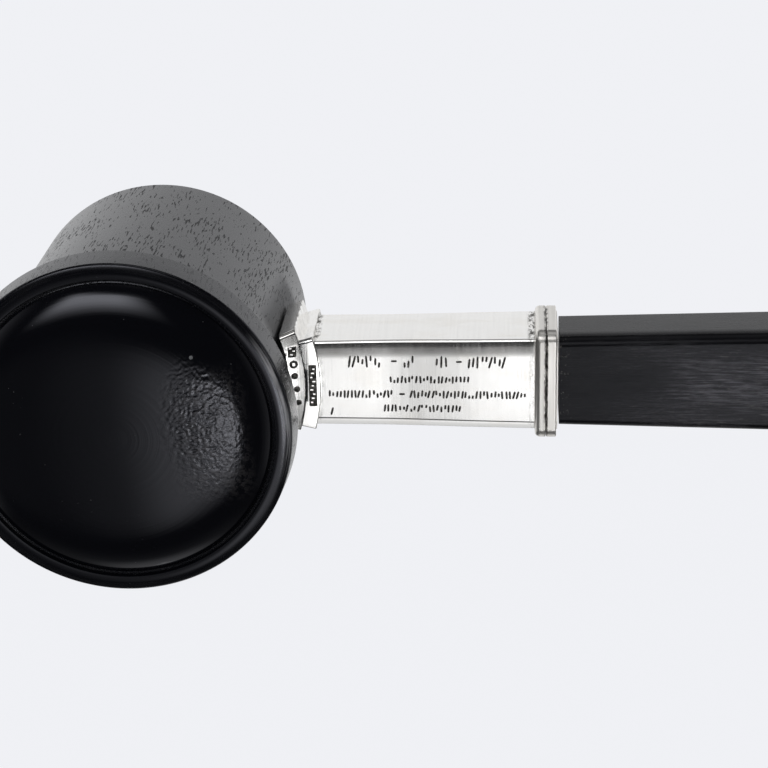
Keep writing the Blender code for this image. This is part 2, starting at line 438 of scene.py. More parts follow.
class Graph:
    """A node tree that is built from short steps."""

    def __init__(self, tree: bpy.types.NodeTree) -> None:
        """Start with an empty tree."""
        self.tree = tree
        self.tree.nodes.clear()

    def add(self, kind: str, inputs: Inputs | None = None, **settings: object) -> bpy.types.Node:
        """Add a node.

        Args:
            kind: the node's type.
            inputs: a value or a socket for each input that is set.
            settings: the node's properties.

        Returns:
            The node.
        """
        node = self.tree.nodes.new(kind)
        for name, value in settings.items():
            setattr(node, name, value)
        for name, value in (inputs or {}).items():
            self.feed(node.inputs[name], value)
        return node

    def feed(self, socket: Socket, value: Value) -> None:
        """Set an input, or link it where the value is a socket.

        Args:
            socket: the input.
            value: a number, a vector, a colour or another node's output.
        """
        if isinstance(value, Socket):
            self.tree.links.new(value, socket)
        else:
            socket.default_value = value

    def math(self, operation: str, first: Value, second: Value = 0.0) -> Socket:
        """The result of one Math node."""
        return self.add("ShaderNodeMath", {0: first, 1: second}, operation=operation).outputs[0]

    def chain(self, operation: str, values: Sequence[Value]) -> Socket:
        """Apply one operation along a row of values.

        Args:
            operation: the Math node's operation.
            values: two or more values.

        Returns:
            The result.
        """
        result = values[0]
        for value in values[1:]:
            result = self.math(operation, result, value)
        return result

    def total(self, *values: Value) -> Socket:
        """The sum of two or more values."""
        return self.chain("ADD", values)

    def product(self, *factors: Value) -> Socket:
        """The product of two or more factors."""
        return self.chain("MULTIPLY", factors)

    def highest(self, *values: Value) -> Socket:
        """The highest of two or more values."""
        return self.chain("MAXIMUM", values)

    def rest(self, share: Socket) -> Socket:
        """What a share leaves of the whole."""
        return self.math("SUBTRACT", 1.0, share)

    def swing(self, noise: Socket, size: float) -> Socket:
        """Noise that swings about zero."""
        return self.product(self.math("SUBTRACT", noise, 0.5), size)

    def ramp(self, value: Value, start: float, end: float, low: float = 0.0, high: float = 1.0) -> Socket:
        """A smooth step of a value.

        Args:
            value: what is read.
            start: where the step starts.
            end: where it ends, below start for a falling step.
            low: the result before the step.
            high: the result after it.

        Returns:
            The stepped value.
        """
        if start > end:
            start, end, low, high = end, start, high, low
        limits = {"Value": value, "From Min": start, "From Max": end, "To Min": low, "To Max": high}
        return self.add("ShaderNodeMapRange", limits, interpolation_type="SMOOTHSTEP").outputs["Result"]

    def length(self, first: Socket, second: Socket) -> Socket:
        """The length of a flat vector."""
        return self.math("SQRT", self.total(self.product(first, first), self.product(second, second)))

    def window(self, value: Value, edges: Window) -> Socket:
        """One between the second edge and the third, fading to zero at the first and the fourth."""
        return self.product(self.ramp(value, edges[0], edges[1]), self.ramp(value, edges[3], edges[2]))

    def mix(self, factor: Value, first: Value, second: Value) -> Socket:
        """Blend two colours.

        Args:
            factor: the share of the second.
            first: the first colour.
            second: the second colour.

        Returns:
            The blend.
        """
        node = self.add("ShaderNodeMix", data_type="RGBA")
        for name, kind, value in (("Factor", "VALUE", factor), ("A", "RGBA", first), ("B", "RGBA", second)):
            self.feed(next(s for s in node.inputs if s.name == name and s.type == kind), value)
        return next(s for s in node.outputs if s.type == "RGBA")

    def blend(self, factor: Value, first: Value, second: Value) -> Socket:
        """Blend two numbers, by the share of the second."""
        return self.add("ShaderNodeMix", {0: factor, 2: first, 3: second}, data_type="FLOAT").outputs[0]

    def in_frame(self, frame: Matrix) -> Socket:
        """The surface point in one of the gavel's own frames.

        Args:
            frame: where the frame lies.

        Returns:
            The point, counted in head units.
        """
        place = self.add("ShaderNodeTexCoord").outputs["Object"]
        inputs = {
            "Vector": place,
            "Location": frame.to_translation(),
            "Rotation": frame.to_euler("XYZ"),
            "Scale": (HEAD_UNIT, HEAD_UNIT, HEAD_UNIT),
        }
        return self.add("ShaderNodeMapping", inputs, vector_type="TEXTURE").outputs["Vector"]

    def split(self, vector: Socket) -> tuple[Socket, Socket, Socket]:
        """The three parts of a vector."""
        node = self.add("ShaderNodeSeparateXYZ", {"Vector": vector})
        return node.outputs["X"], node.outputs["Y"], node.outputs["Z"]

    def flat(self, first: Socket, second: Socket) -> Socket:
        """A vector of two parts."""
        return self.add("ShaderNodeCombineXYZ", {"X": first, "Y": second}).outputs["Vector"]

    def pattern(self, point: Socket, pattern: Pattern) -> Socket:
        """Cloudy noise.

        Args:
            point: where it is read.
            pattern: its size and shape.

        Returns:
            The noise, about 0.5.
        """
        turn = [math.radians(angle) for angle in pattern.turn]
        inputs = {"Vector": point, "Scale": pattern.cells, "Rotation": turn}
        place = self.add("ShaderNodeMapping", inputs, vector_type="POINT").outputs["Vector"]
        inputs = {"Vector": place, "Scale": 1.0, "Detail": pattern.octaves, "Roughness": pattern.strength}
        return self.add("ShaderNodeTexNoise", inputs).outputs[0]

    def cells(self, vector: Socket, scale: float) -> Socket:
        """The distance to the nearest point of a cell pattern."""
        return self.add("ShaderNodeTexVoronoi", {"Vector": vector, "Scale": scale}).outputs["Distance"]

    def bump(self, height: Socket, relief: Relief, normal: Socket | None = None) -> Socket:
        """Relief that is too fine to model.

        Args:
            height: the relief, from 0 to 1.
            relief: its depth in metres and its share.
            normal: relief that lies under it.

        Returns:
            The normal.
        """
        inputs: Inputs = {"Height": height, "Distance": relief[0], "Strength": relief[1]}
        if normal is not None:
            inputs["Normal"] = normal
        return self.add("ShaderNodeBump", inputs).outputs["Normal"]

    def finish(self, base: Value, roughness: Value, normal: Socket | None, others: Inputs) -> None:
        """Close the graph with a shader.

        Args:
            base: its colour.
            roughness: its roughness.
            normal: its relief, if it has any.
            others: what is the same all over.
        """
        shader = self.add("ShaderNodeBsdfPrincipled", {"Base Color": base, "Roughness": roughness, **others})
        if normal is not None:
            self.feed(shader.inputs["Normal"], normal)
        self.add("ShaderNodeOutputMaterial", {"Surface": shader.outputs[0]})


def new_material(name: str) -> tuple[bpy.types.Material, Graph]:
    """Make an empty node material.

    Args:
        name: its name.

    Returns:
        The material and its graph.
    """
    material = bpy.data.materials.new(name)
    material.use_nodes = True
    return material, Graph(material.node_tree)


def colour(red: float, green: float, blue: float) -> Colour:
    """An opaque colour."""
    return (red, green, blue, 1.0)


# ---------------------------------------------------------------- finishes


@dataclass(frozen=True)
class TurnedEbony:
    """The head's finish: satin and open-pored on the drum, polished on the striking face.

    Places are counted in head units from the middle of the face, and angles round the turning
    axis in radians from the handle's side.
    """

    frame: Matrix
    black: Colour = colour(0.0034, 0.0037, 0.0060)
    sheen: Colour = colour(0.90, 0.91, 1.0)
    pore_black: Colour = colour(0.0015, 0.0015, 0.0015)
    worn_grey: Colour = colour(0.018, 0.018, 0.020)
    # light grey of the ring's rub marks, partly a painted highlight on the ring
    rub_and_highlight_grey: Colour = colour(0.55, 0.55, 0.57)
    bruised_grey: Colour = colour(0.042, 0.040, 0.042)
    dust: Colour = colour(0.30, 0.31, 0.32)
    ior: float = 1.5
    drum_roughness: float = 0.24
    face_roughness: float = 0.10
    bruise_roughness: float = 0.06
    rub_roughness: float = 0.35
    pore_roughness: float = 0.3
    haze_roughness: float = 0.1
    grain: Pattern = Pattern((120, 7, 120))
    haze: Pattern = Pattern((2.6, 1.4, 2.6), 3.0)
    tool_rings: Pattern = Pattern((60, 60, 60))
    grit: Pattern = Pattern((34, 34, 34), 3.0, 0.65)
    pore_dashes: Pattern = Pattern((95, 11, 95), 1.0)
    pore_drifts: Pattern = Pattern((4.5, 2.2, 4.5))
    dust_drifts: Pattern = Pattern((9, 9, 9))
    hairs: Pattern = Pattern((18, 1, 150), 1.0, turn=(0, 38, 0))
    rub_streaks: Pattern = Pattern((95, 2.2, 1), 4.0, 0.6)
    rub_patches: Pattern = Pattern((14, 3, 1))
    side_from: Ramp = (0.005, 0.03)
    pores_from: Ramp = (0.20, 0.27, 0.35, 1.0)
    haze_share: Ramp = (0.42, 0.7, 0.0, 0.7)
    grain_share: Ramp = (0.5, 0.8, 0.0, 0.8)
    grit_share: Ramp = (0.42, 0.6)
    pore_threshold: Ramp = (0.32, 0.66, 0.69, 0.575)
    pore_edge: Ramp = (0.0, 0.04)
    bruise_across: Window = (0.25, 0.50, 0.66, 0.80)
    bruise_along: Window = (-0.50, -0.30, 0.20, 0.42)
    ring_band: Window = (0.945, 0.962, 0.985, 0.996)
    lit_handle_side: Window = (-0.45, 0.02, 0.28, 0.60)
    least_rub: float = 0.02
    streak_share: Ramp = (0.34, 0.62)
    patch_share: Ramp = (0.20, 0.5)
    dark_patch_slant: float = -0.08
    dark_patch_top: Ramp = (0.52, 0.34, 0.0, 0.8)
    dark_patch_foot: Ramp = (0.10, 0.16)
    dark_patch_along: Window = (0.58, 0.78, 1.50, 1.70)
    speck_cells: float = 22.0
    speck_edge: Ramp = (0.09, 0.04)
    speck_drift: Ramp = (0.58, 0.66)
    speck_share: float = 0.35
    nick: Pair = (0.50, 0.44)
    nick_edge: Ramp = (0.013, 0.007)
    hair_edge: Ramp = (0.72, 0.78)
    hair_drift: Ramp = (0.5, 0.62)
    hair_height: Ramp = (-0.2, -0.45)
    hair_side: Ramp = (0.55, 0.1)
    hair_share: float = 0.25
    ring_relief: Relief = (0.00002, 0.35)
    grit_relief: Relief = (0.00007, 0.8)
    grain_relief: Relief = (0.00004, 0.6)
    pore_relief: Relief = (0.00014, 0.9)

    def build(self) -> bpy.types.Material:
        """Make the material.

        Returns:
            The material.
        """
        material, graph = new_material("turned_ebony")
        point = graph.in_frame(self.frame)
        side, depth, height = graph.split(point)
        radius = graph.length(side, height)
        angle = graph.math("ARCTAN2", height, side)
        on_side = graph.ramp(depth, *self.side_from)
        on_face = graph.rest(on_side)
        grain = graph.pattern(point, self.grain)
        haze = graph.pattern(point, self.haze)
        grit = graph.pattern(point, self.grit)
        rings = graph.pattern(graph.flat(radius, depth), self.tool_rings)
        pores = graph.product(self.pores(graph, point), on_side, graph.ramp(depth, *self.pores_from))
        dents = graph.product(
            graph.window(side, self.bruise_across), graph.window(height, self.bruise_along), on_face
        )
        rubbed = graph.product(self.rubbed(graph, radius, angle), on_face)
        # the open pores and a darker patch on the drum beside the saddle both take the pores' black
        dark = graph.highest(pores, self.dark_saddle_patch(graph, angle, depth))
        grey = graph.highest(graph.ramp(haze, *self.haze_share), graph.ramp(grain, *self.grain_share))
        marks = graph.product(self.specks(graph, point, side, height), on_face)
        base = graph.mix(graph.product(on_side, grey), self.black, self.worn_grey)
        base = graph.mix(dark, base, self.pore_black)
        # painted highlight: the ring is made light grey in rub streaks, most on the handle's side, where the
        # light falls
        base = graph.mix(rubbed, base, self.rub_and_highlight_grey)
        base = graph.mix(graph.product(dents, graph.ramp(grit, *self.grit_share)), base, self.bruised_grey)
        base = graph.mix(marks, base, self.dust)
        rough = graph.total(
            graph.blend(on_side, self.face_roughness, self.drum_roughness),
            graph.product(dents, self.bruise_roughness),
            graph.product(rubbed, self.rub_roughness),
            graph.product(dark, self.pore_roughness),
            graph.swing(haze, self.haze_roughness),
        )
        normal = graph.bump(rings, self.ring_relief)
        normal = graph.bump(graph.product(grit, dents), self.grit_relief, normal)
        normal = graph.bump(graph.product(grain, on_side), self.grain_relief, normal)
        normal = graph.bump(graph.rest(pores), self.pore_relief, normal)
        graph.finish(base, rough, normal, {"IOR": self.ior, "Specular Tint": self.sheen})
        return material

    def pores(self, graph: Graph, point: Socket) -> Socket:
        """Open pores: short dark dashes along the grain, in drifts.

        Args:
            graph: the material's graph.
            point: the surface point.

        Returns:
            1 in a pore.
        """
        threshold = graph.ramp(graph.pattern(point, self.pore_drifts), *self.pore_threshold)
        dashes = graph.pattern(point, self.pore_dashes)
        return graph.ramp(graph.math("SUBTRACT", dashes, threshold), *self.pore_edge)

    def rubbed(self, graph: Graph, radius: Socket, angle: Socket) -> Socket:
        """Grey rub marks that run round the ring, most on the handle's side, with a painted highlight there,
        where the light falls on the ring.

        Args:
            graph: the material's graph.
            radius: the distance from the turning axis.
            angle: the angle round it.

        Returns:
            How strongly the ring is rubbed and painted lighter as a highlight.
        """
        around = graph.flat(radius, angle)
        streaks = graph.ramp(graph.pattern(around, self.rub_streaks), *self.streak_share)
        patches = graph.ramp(graph.pattern(around, self.rub_patches), *self.patch_share)
        # painted highlight: the rub grey is strongest on the handle's side, where the light falls on the
        # ring
        on_lit_handle_side = graph.product(graph.window(angle, self.lit_handle_side), 1.0 - self.least_rub)
        share = graph.math("ADD", self.least_rub, on_lit_handle_side)
        return graph.product(streaks, patches, graph.window(radius, self.ring_band), share)

    def dark_saddle_patch(self, graph: Graph, angle: Socket, depth: Socket) -> Socket:
        """The dark patch on the drum beside the saddle.

        Args:
            graph: the material's graph.
            angle: the angle round the turning axis.
            depth: the distance behind the face.

        Returns:
            How dark the patch is.
        """
        slant = graph.product(graph.math("SUBTRACT", depth, 1.0), self.dark_patch_slant)
        edge = graph.math("SUBTRACT", angle, slant)
        around = graph.product(graph.ramp(edge, *self.dark_patch_top), graph.ramp(edge, *self.dark_patch_foot))
        return graph.product(around, graph.window(depth, self.dark_patch_along))

    def specks(self, graph: Graph, point: Socket, side: Socket, height: Socket) -> Socket:
        """Pale dust specks, one bright nick and a few hair scratches low on the polished face.

        Args:
            graph: the material's graph.
            point: the surface point.
            side: its distance towards the handle.
            height: its height above the middle of the face.

        Returns:
            How pale the marks are.
        """
        drifts = graph.pattern(point, self.dust_drifts)
        near = graph.ramp(graph.cells(point, self.speck_cells), *self.speck_edge)
        specks = graph.product(near, graph.ramp(drifts, *self.speck_drift), self.speck_share)
        across, up = (graph.math("SUBTRACT", *pair) for pair in zip((side, height), self.nick))
        nick = graph.ramp(graph.length(across, up), *self.nick_edge)
        low = graph.product(graph.ramp(height, *self.hair_height), graph.ramp(side, *self.hair_side))
        hairs = graph.ramp(graph.pattern(point, self.hairs), *self.hair_edge)
        scratches = graph.product(hairs, graph.ramp(drifts, *self.hair_drift), low, self.hair_share)
        return graph.highest(specks, nick, scratches)


@dataclass(frozen=True)
class EngravedSilver:
    """The ferrule's finish: bright, brushed across its length, dark in the creases.

    Places are counted in head units along the handle from the turning axis.
    """

    frame: Matrix
    silver: Colour = colour(0.93, 0.92, 0.90)
    warm: Colour = colour(0.86, 0.83, 0.78)
    tarnish: Colour = colour(0.10, 0.095, 0.085)
    roughness: float = 0.15
    brushing_roughness: float = 0.2
    crease_roughness: float = 0.22
    brushing: Pattern = Pattern((95, 2.0, 2.0), 3.0)
    stains: Pattern = Pattern((4, 9, 9), 3.0)
    waves: Pattern = Pattern((3, 3, 3))
    grains: Pattern = Pattern((40, 18, 18), 3.0, 0.7)
    stain_share: Ramp = (0.45, 0.75, 0.0, 0.5)
    grain_share: Ramp = (0.42, 0.62)
    beads_from: Ramp = (2.366, 2.378)
    bead_warmth: float = 0.7
    on_top: Ramp = (0.255, 0.28, 0.25, 1.0)
    bead_groove: Window = (2.427, 2.437, 2.449, 2.460)
    before_beads: Window = (2.326, 2.352, 2.370, 2.384)
    plate_foot: Window = (1.096, 1.102, 1.108, 1.135)
    plate_step: Window = (1.001, 1.005, 1.010, 1.014)
    step_share: float = 0.8
    brushing_relief: Relief = (0.00001, 0.35)
    wave_relief: Relief = (0.0002, 0.25)

    def build(self) -> bpy.types.Material:
        """Make the material.

        Returns:
            The material.
        """
        material, graph = new_material("engraved_silver")
        point = graph.in_frame(self.frame)
        along, _, height = graph.split(point)
        brushing = graph.pattern(point, self.brushing)
        stains = graph.ramp(graph.pattern(point, self.stains), *self.stain_share)
        crease = self.creases(graph, point, along, height)
        on_beads = graph.ramp(along, *self.beads_from)
        warmth = graph.highest(stains, graph.product(on_beads, self.bead_warmth))
        base = graph.mix(warmth, self.silver, self.warm)
        base = graph.mix(crease, base, self.tarnish)
        rough = graph.total(
            self.roughness,
            graph.swing(brushing, self.brushing_roughness),
            graph.product(graph.highest(crease, on_beads), self.crease_roughness),
        )
        normal = graph.bump(brushing, self.brushing_relief)
        normal = graph.bump(graph.pattern(point, self.waves), self.wave_relief, normal)
        graph.finish(base, rough, normal, {"Metallic": 1.0})
        return material

    def creases(self, graph: Graph, point: Socket, along: Socket, height: Socket) -> Socket:
        """Tarnish and polish left in the corners at the beads and at the plates' feet.

        Args:
            graph: the material's graph.
            point: the surface point.
            along: its distance along the handle.
            height: its height above the turning axis.

        Returns:
            How dark the corners are.
        """
        reach = graph.length(along, height)
        on_top = graph.ramp(height, *self.on_top)
        corners = graph.highest(
            graph.window(along, self.bead_groove),
            graph.product(graph.window(along, self.before_beads), on_top),
            graph.product(graph.window(reach, self.plate_foot), on_top),
            graph.product(graph.window(reach, self.plate_step), self.step_share),
        )
        grains = graph.ramp(graph.pattern(point, self.grains), *self.grain_share)
        return graph.product(corners, grains)


@dataclass(frozen=True)
class CutSilver:
    """The floor of the engraved strokes and punch marks, black with tarnish."""

    frame: Matrix
    black: Colour = colour(0.05, 0.048, 0.044)
    grey: Colour = colour(0.25, 0.24, 0.22)
    metallic: float = 0.7
    roughness: float = 0.5
    grains: Pattern = Pattern((60, 60, 60))
    grain_share: Ramp = (0.4, 0.7)

    def build(self) -> bpy.types.Material:
        """Make the material.

        Returns:
            The material.
        """
        material, graph = new_material("cut_silver")
        grains = graph.pattern(graph.in_frame(self.frame), self.grains)
        base = graph.mix(graph.ramp(grains, *self.grain_share), self.black, self.grey)
        graph.finish(base, self.roughness, None, {"Metallic": self.metallic})
        return material


@dataclass(frozen=True)
class HandledEbony:
    """The handle's finish: satin, rubbed along its length.

    Places are counted in head units along the handle from the turning axis.
    """

    frame: Matrix
    black: Colour = colour(0.0075, 0.0075, 0.0092)
    sheen: Colour = colour(0.92, 0.93, 1.0)
    rubbed: Colour = colour(0.180, 0.175, 0.196)
    dust: Colour = colour(0.28, 0.27, 0.25)
    ior: float = 1.25
    roughness: float = 0.25
    streak_roughness: float = 0.3
    streaks: Pattern = Pattern((6.5, 115, 115), 5.0, 0.75)
    fine: Pattern = Pattern((13.0, 150, 150), 3.0, 0.6)
    patches: Pattern = Pattern((1.6, 6, 6), 3.0)
    grains: Pattern = Pattern((60, 60, 60))
    worn_from: Ramp = (2.6, 3.4, 0.12, 1.0)
    held_along: Window = (3.00, 3.35, 3.60, 4.10)
    held_height: Window = (-0.17, -0.06, 0.08, 0.19)
    held_share: float = 0.9
    patch_share: Ramp = (0.36, 0.62, 0.0, 0.6)
    below_top: Ramp = (0.28, 0.20, 0.35, 1.0)
    streak_share: Ramp = (0.40, 0.70)
    hair_edge: Ramp = (0.60, 0.74)
    hair_drift: Ramp = (0.4, 0.6)
    hair_share: float = 0.5
    specks_until: Ramp = (2.613, 2.533)
    speck_edge: Ramp = (0.62, 0.70)
    speck_share: float = 0.5
    streak_relief: Relief = (0.00003, 0.5)
    fine_relief: Relief = (0.000015, 0.5)

    def build(self) -> bpy.types.Material:
        """Make the material.

        Returns:
            The material.
        """
        material, graph = new_material("handled_ebony")
        point = graph.in_frame(self.frame)
        along, _, height = graph.split(point)
        streaks, fine, patches, grains = (
            graph.pattern(point, pattern) for pattern in (self.streaks, self.fine, self.patches, self.grains)
        )
        held = graph.product(
            graph.window(along, self.held_along), graph.window(height, self.held_height), self.held_share
        )
        worn = graph.total(graph.ramp(patches, *self.patch_share), held)
        place = graph.product(graph.ramp(along, *self.worn_from), graph.ramp(height, *self.below_top))
        rub = graph.product(graph.ramp(streaks, *self.streak_share), worn, place)
        drifts = graph.ramp(patches, *self.hair_drift)
        hairs = graph.product(graph.ramp(fine, *self.hair_edge), drifts, place, self.hair_share)
        near_bead = graph.ramp(along, *self.specks_until)
        specks = graph.product(graph.ramp(grains, *self.speck_edge), near_bead, self.speck_share)
        base = graph.mix(rub, self.black, self.rubbed)
        base = graph.mix(graph.highest(hairs, specks), base, self.dust)
        rough = graph.total(self.roughness, graph.swing(streaks, self.streak_roughness))
        normal = graph.bump(streaks, self.streak_relief)
        normal = graph.bump(fine, self.fine_relief, normal)
        graph.finish(base, rough, normal, {"IOR": self.ior, "Specular Tint": self.sheen})
        return material


# ---------------------------------------------------------------- head


@dataclass(frozen=True)
class Bruise:
    """The patch of small pits on the face, low on the handle's side, worn in by use.

    It is an oval in the face's plane, with its middle and its half sizes given across and
    up from the middle of the face.
    """

    middle: Pair = (0.0161, 0.0012)
    half_size: Pair = (0.0082, 0.0142)
    pit_size: float = 0.00085
    pit_octaves: int = 2
    pit_depth: float = 0.00012
    pit_level: float = 0.2
    steepness: float = 1.5
    cuts: int = 3

    def weight(self, point: Vector) -> float:
        """How strongly a point is pitted.

        Args:
            point: the point, in the head's frame.

        Returns:
            1 in the middle and 0 outside the oval.
        """
        across = (point.x - self.middle[0]) / self.half_size[0]
        up = (point.z - self.middle[1]) / self.half_size[1]
        return max(0.0, min(1.0, self.steepness * (1.0 - math.hypot(across, up))))

    def wear(self, head: Piece, behind: float) -> None:
        """Refine the patch and press the pits into it.

        Args:
            head: the turned head, in its own frame.
            behind: how far behind the face's plane the patch may reach.
        """
        Bench.edit(head, "FACE")
        Bench.select(head, "faces", lambda face: self.covers(face.calc_center_median(), behind))
        bpy.ops.mesh.subdivide(number_cuts=self.cuts, smoothness=0)
        Bench.done()
        group = head.vertex_groups.new(name="bruise")
        for vert in head.data.vertices:
            if self.covers(vert.co, behind):
                group.add([vert.index], self.weight(vert.co), "REPLACE")
        pits = bpy.data.textures.new("pits", "CLOUDS")
        pits.noise_scale = self.pit_size
        pits.noise_depth = self.pit_octaves
        pits.noise_type = "HARD_NOISE"
        settings = {"texture": pits, "vertex_group": "bruise", "texture_coords": "LOCAL"}
        Bench.apply(head, "DISPLACE", strength=-self.pit_depth, mid_level=self.pit_level, **settings)
        bpy.data.textures.remove(pits)
        head.vertex_groups.clear()

    def covers(self, point: Vector, behind: float) -> bool:
        """Whether a point lies in the patch, on the face's side of the head."""
        return point.y < behind and self.weight(point) > 0.0


@dataclass
class Head:
    """The turned head, ring by ring from the crown of the face to the far end.

    Distances are behind the plane of the ring's crest, and the far rings are shares of the far
    radius.
    """

    placement: Placement
    sides: int = 192
    face_radius: float = 0.0310
    face_arris: float = 0.0006
    ring_inner_radius: float = 0.0281
    ring_arris: float = 0.0003
    ring_crest: float = 0.0288
    ring_tilt: float = 19.0
    ring_steps: int = 10
    edge_steps: int = 7
    groove_depth: float = 0.0010
    groove_width: float = 0.0005
    groove_foot: float = 0.0009
    groove_flare: Pair = (0.00005, 0.00008)
    groove_share: float = 0.6
    dome_radius: float = 0.0274
    dome_crown: float = 0.0035
    dome_edge_drop: float = 0.0026
    dome_edge_power: float = 9.0
    dome_rings: int = 44
    band_radius: float = 0.0314
    band_width: float = 0.0071
    band_arris: float = 0.0003
    band_round: float = 0.0001
    cove_lead: float = 0.0003
    waist_radius: float = 0.0276
    waist_distance: float = 0.0175
    cove_power: float = 2.6
    cove_rings: int = 16
    drum_rings: int = 24
    far_radius: float = 0.0280
    far_arris: float = 0.0005
    far_steps: int = 5
    far_rings: tuple[float, ...] = (0.9, 0.7, 0.45, 0.2, 0.05)
    pole_radius: float = 0.0004
    crisp_angle: float = 40
    bruise: Bruise = Bruise()

    def outline(self) -> list[Pair]:
        """The turned outline as (radius, distance behind the face plane)."""
        return [*self.dome(), *self.ring(), *self.side(), *self.far_end()]

    def dome(self) -> list[Pair]:
        """The cushioned face.

        Returns:
            Points from just off its crown to its rolled edge.
        """
        sag = self.dome_crown + self.groove_share * self.groove_depth - self.dome_edge_drop
        points = []
        for step in range(self.dome_rings + 1):
            share = math.sin(0.5 * math.pi * step / self.dome_rings)
            share = max(share, self.pole_radius / self.dome_radius)
            drop = sag * share**2 + self.dome_edge_drop * share**self.dome_edge_power
            points.append((self.dome_radius * share, drop - self.dome_crown))
        return points

    def ring(self) -> list[Pair]:
        """The groove, the gently rounded ring and its outer edge.

        Returns:
            Points from the groove to the band.
        """
        points = [
            (self.dome_radius + self.groove_flare[0], self.groove_foot),
            (self.dome_radius + self.groove_width / 2, self.groove_depth),
            (self.ring_inner_radius - self.groove_flare[1], self.groove_foot),
            (self.ring_inner_radius, self.ring_arris),
        ]
        inner = self.ring_inner_radius + self.ring_arris / 2
        tilt = math.radians(self.ring_tilt)
        outer = self.face_radius - self.face_arris * (1 - math.sin(tilt))
        bend = math.tan(tilt) / (2 * (outer - self.ring_crest))
        for step in range(self.ring_steps):
            radius = inner + (outer - inner) * step / self.ring_steps
            points.append((radius, bend * (radius - self.ring_crest) ** 2))
        plane = bend * (outer - self.ring_crest) ** 2 - self.face_arris * (1 - math.cos(tilt))
        points += self.quarter(self.face_radius, self.face_arris, plane, 1.0, self.edge_steps, tilt)
        return points

    def side(self) -> list[Pair]:
        """The band, the cove behind it and the drum.

        Returns:
            Points from the band to the far edge.
        """
        points = [
            (self.band_radius, self.band_width - self.band_arris),
            (self.band_radius - self.band_round, self.band_width - self.band_round),
            (self.band_radius - self.band_arris, self.band_width),
        ]
        cove_start = self.band_width + self.cove_lead
        cove_depth = self.band_radius - self.band_arris - self.waist_radius
        for step in range(self.cove_rings):
            share = 1 - step / self.cove_rings
            distance = self.waist_distance - (self.waist_distance - cove_start) * share
            points.append((self.waist_radius + cove_depth * share**self.cove_power, distance))
        length = HEAD_LENGTH - self.far_arris - self.waist_distance
        for step in range(self.drum_rings):
            share = step / self.drum_rings
            radius = self.waist_radius + (self.far_radius - self.waist_radius) * share
            points.append((radius, self.waist_distance + length * share))
        return points

    def far_end(self) -> list[Pair]:
        """The far edge and the flat end."""
        rim = self.quarter(self.far_radius, self.far_arris, HEAD_LENGTH, -1.0, self.far_steps)[::-1]
        return rim + [(self.far_radius * share, HEAD_LENGTH) for share in self.far_rings]

    @staticmethod
    def quarter(
        radius: float, arris: float, plane: float, inward: float, steps: int, start: float = 0.0
    ) -> list[Pair]:
        """A rounded edge from a flat end to a round side.

        Args:
            radius: the side's radius.
            arris: the edge's radius.
            plane: the end's distance behind the face plane.
            inward: 1 if the piece lies behind the end, -1 if before it.
            steps: how many facets round the edge.
            start: the slope that the edge starts at, in radians.

        Returns:
            Points from the end to the side.
        """
        points = []
        for step in range(steps + 1):
            angle = start + (0.5 * math.pi - start) * step / steps
            out = radius - arris + arris * math.sin(angle)
            points.append((out, plane + inward * arris * (1 - math.cos(angle))))
        return points

    def turn(self) -> Piece:
        """Turn the head: a circle is drawn out ring by ring and closed at both poles.

        Returns:
            The head, in its own frame.
        """
        outline = self.outline()
        radius, distance = outline[0]
        Bench.clear()
        bpy.ops.mesh.primitive_circle_add(
            vertices=self.sides,
            radius=radius,
            fill_type="NOTHING",
            location=(0, distance, 0),
            rotation=(math.pi / 2, 0, 0),
        )
        head = Bench.started("turned_head")
        Bench.fix()
        Bench.edit(head, "EDGE")
        bpy.ops.mesh.select_all(action="SELECT")
        for next_radius, next_distance in outline[1:]:
            step = {"value": (0, next_distance - distance, 0)}
            bpy.ops.mesh.extrude_edges_move(TRANSFORM_OT_translate=step)
            ratio = next_radius / radius
            bpy.ops.transform.resize(value=(ratio, 1, ratio), center_override=(0, next_distance, 0))
            radius, distance = next_radius, next_distance
        self.close_pole()
        Bench.select(head, "edges", lambda edge: self.on_first_ring(edge, outline[0][1]))
        self.close_pole()
        Bench.done()
        Bench.tidy(head)
        return head

    @staticmethod
    def close_pole() -> None:
        """Close the selected ring with a fan of faces."""
        bpy.ops.mesh.extrude_edges_move(TRANSFORM_OT_translate={"value": (0, 0, 0)})
        bpy.ops.mesh.merge(type="CENTER")

    def on_first_ring(self, edge: Edge, crown: float) -> bool:
        """Whether an edge lies on the small ring round the crown.

        Args:
            edge: the edge.
            crown: the ring's distance behind the face plane.

        Returns:
            True if both ends lie on it.
        """
        reach = self.pole_radius + PLANE_TOLERANCE
        return all(
            abs(vert.co.y - crown) < MERGE_DISTANCE and vert.co.xz.length < reach
            for vert in edge.verts
        )

    def build(self) -> Piece:
        """Make, place and dress the head.

        Returns:
            The head.
        """
        head = self.turn()
        self.bruise.wear(head, self.groove_depth / 2)
        Bench.place(head, self.placement.head)
        Bench.soften(head, self.crisp_angle)
        head.data.materials.append(TurnedEbony(self.placement.head).build())
        Bench.hand_over(head, Slot.POLISHED_EBONY, Node.HEAD)
        return head


# ---------------------------------------------------------------- ferrule


@dataclass(frozen=True)
class Sector:
    """The size of a saddle plate: a sector of a ring about the turning axis.

    Its angles are in degrees, and its tilt is how far its front leans back across its width.
    """

    name: str
    inner: float
    outer: float
    low_angle: float
    high_angle: float
    back: float
    tilt: float


@dataclass(frozen=True)
class Bend:
    """A soft bend in the sleeve's front: where it starts and ends, and the change of slope."""

    start: float
    end: float
    change: float

    def swell(self, distance: float) -> float:
        """How far the front has moved because of this bend.

        Args:
            distance: the distance from the turning axis.

        Returns:
            The move outwards.
        """
        share = min(1.0, max(0.0, (distance - self.start) / (self.end - self.start)))
        within = self.change * (self.end - self.start) * (share**3 - share**4 / 2)
        return within + self.change * max(0.0, distance - self.end)


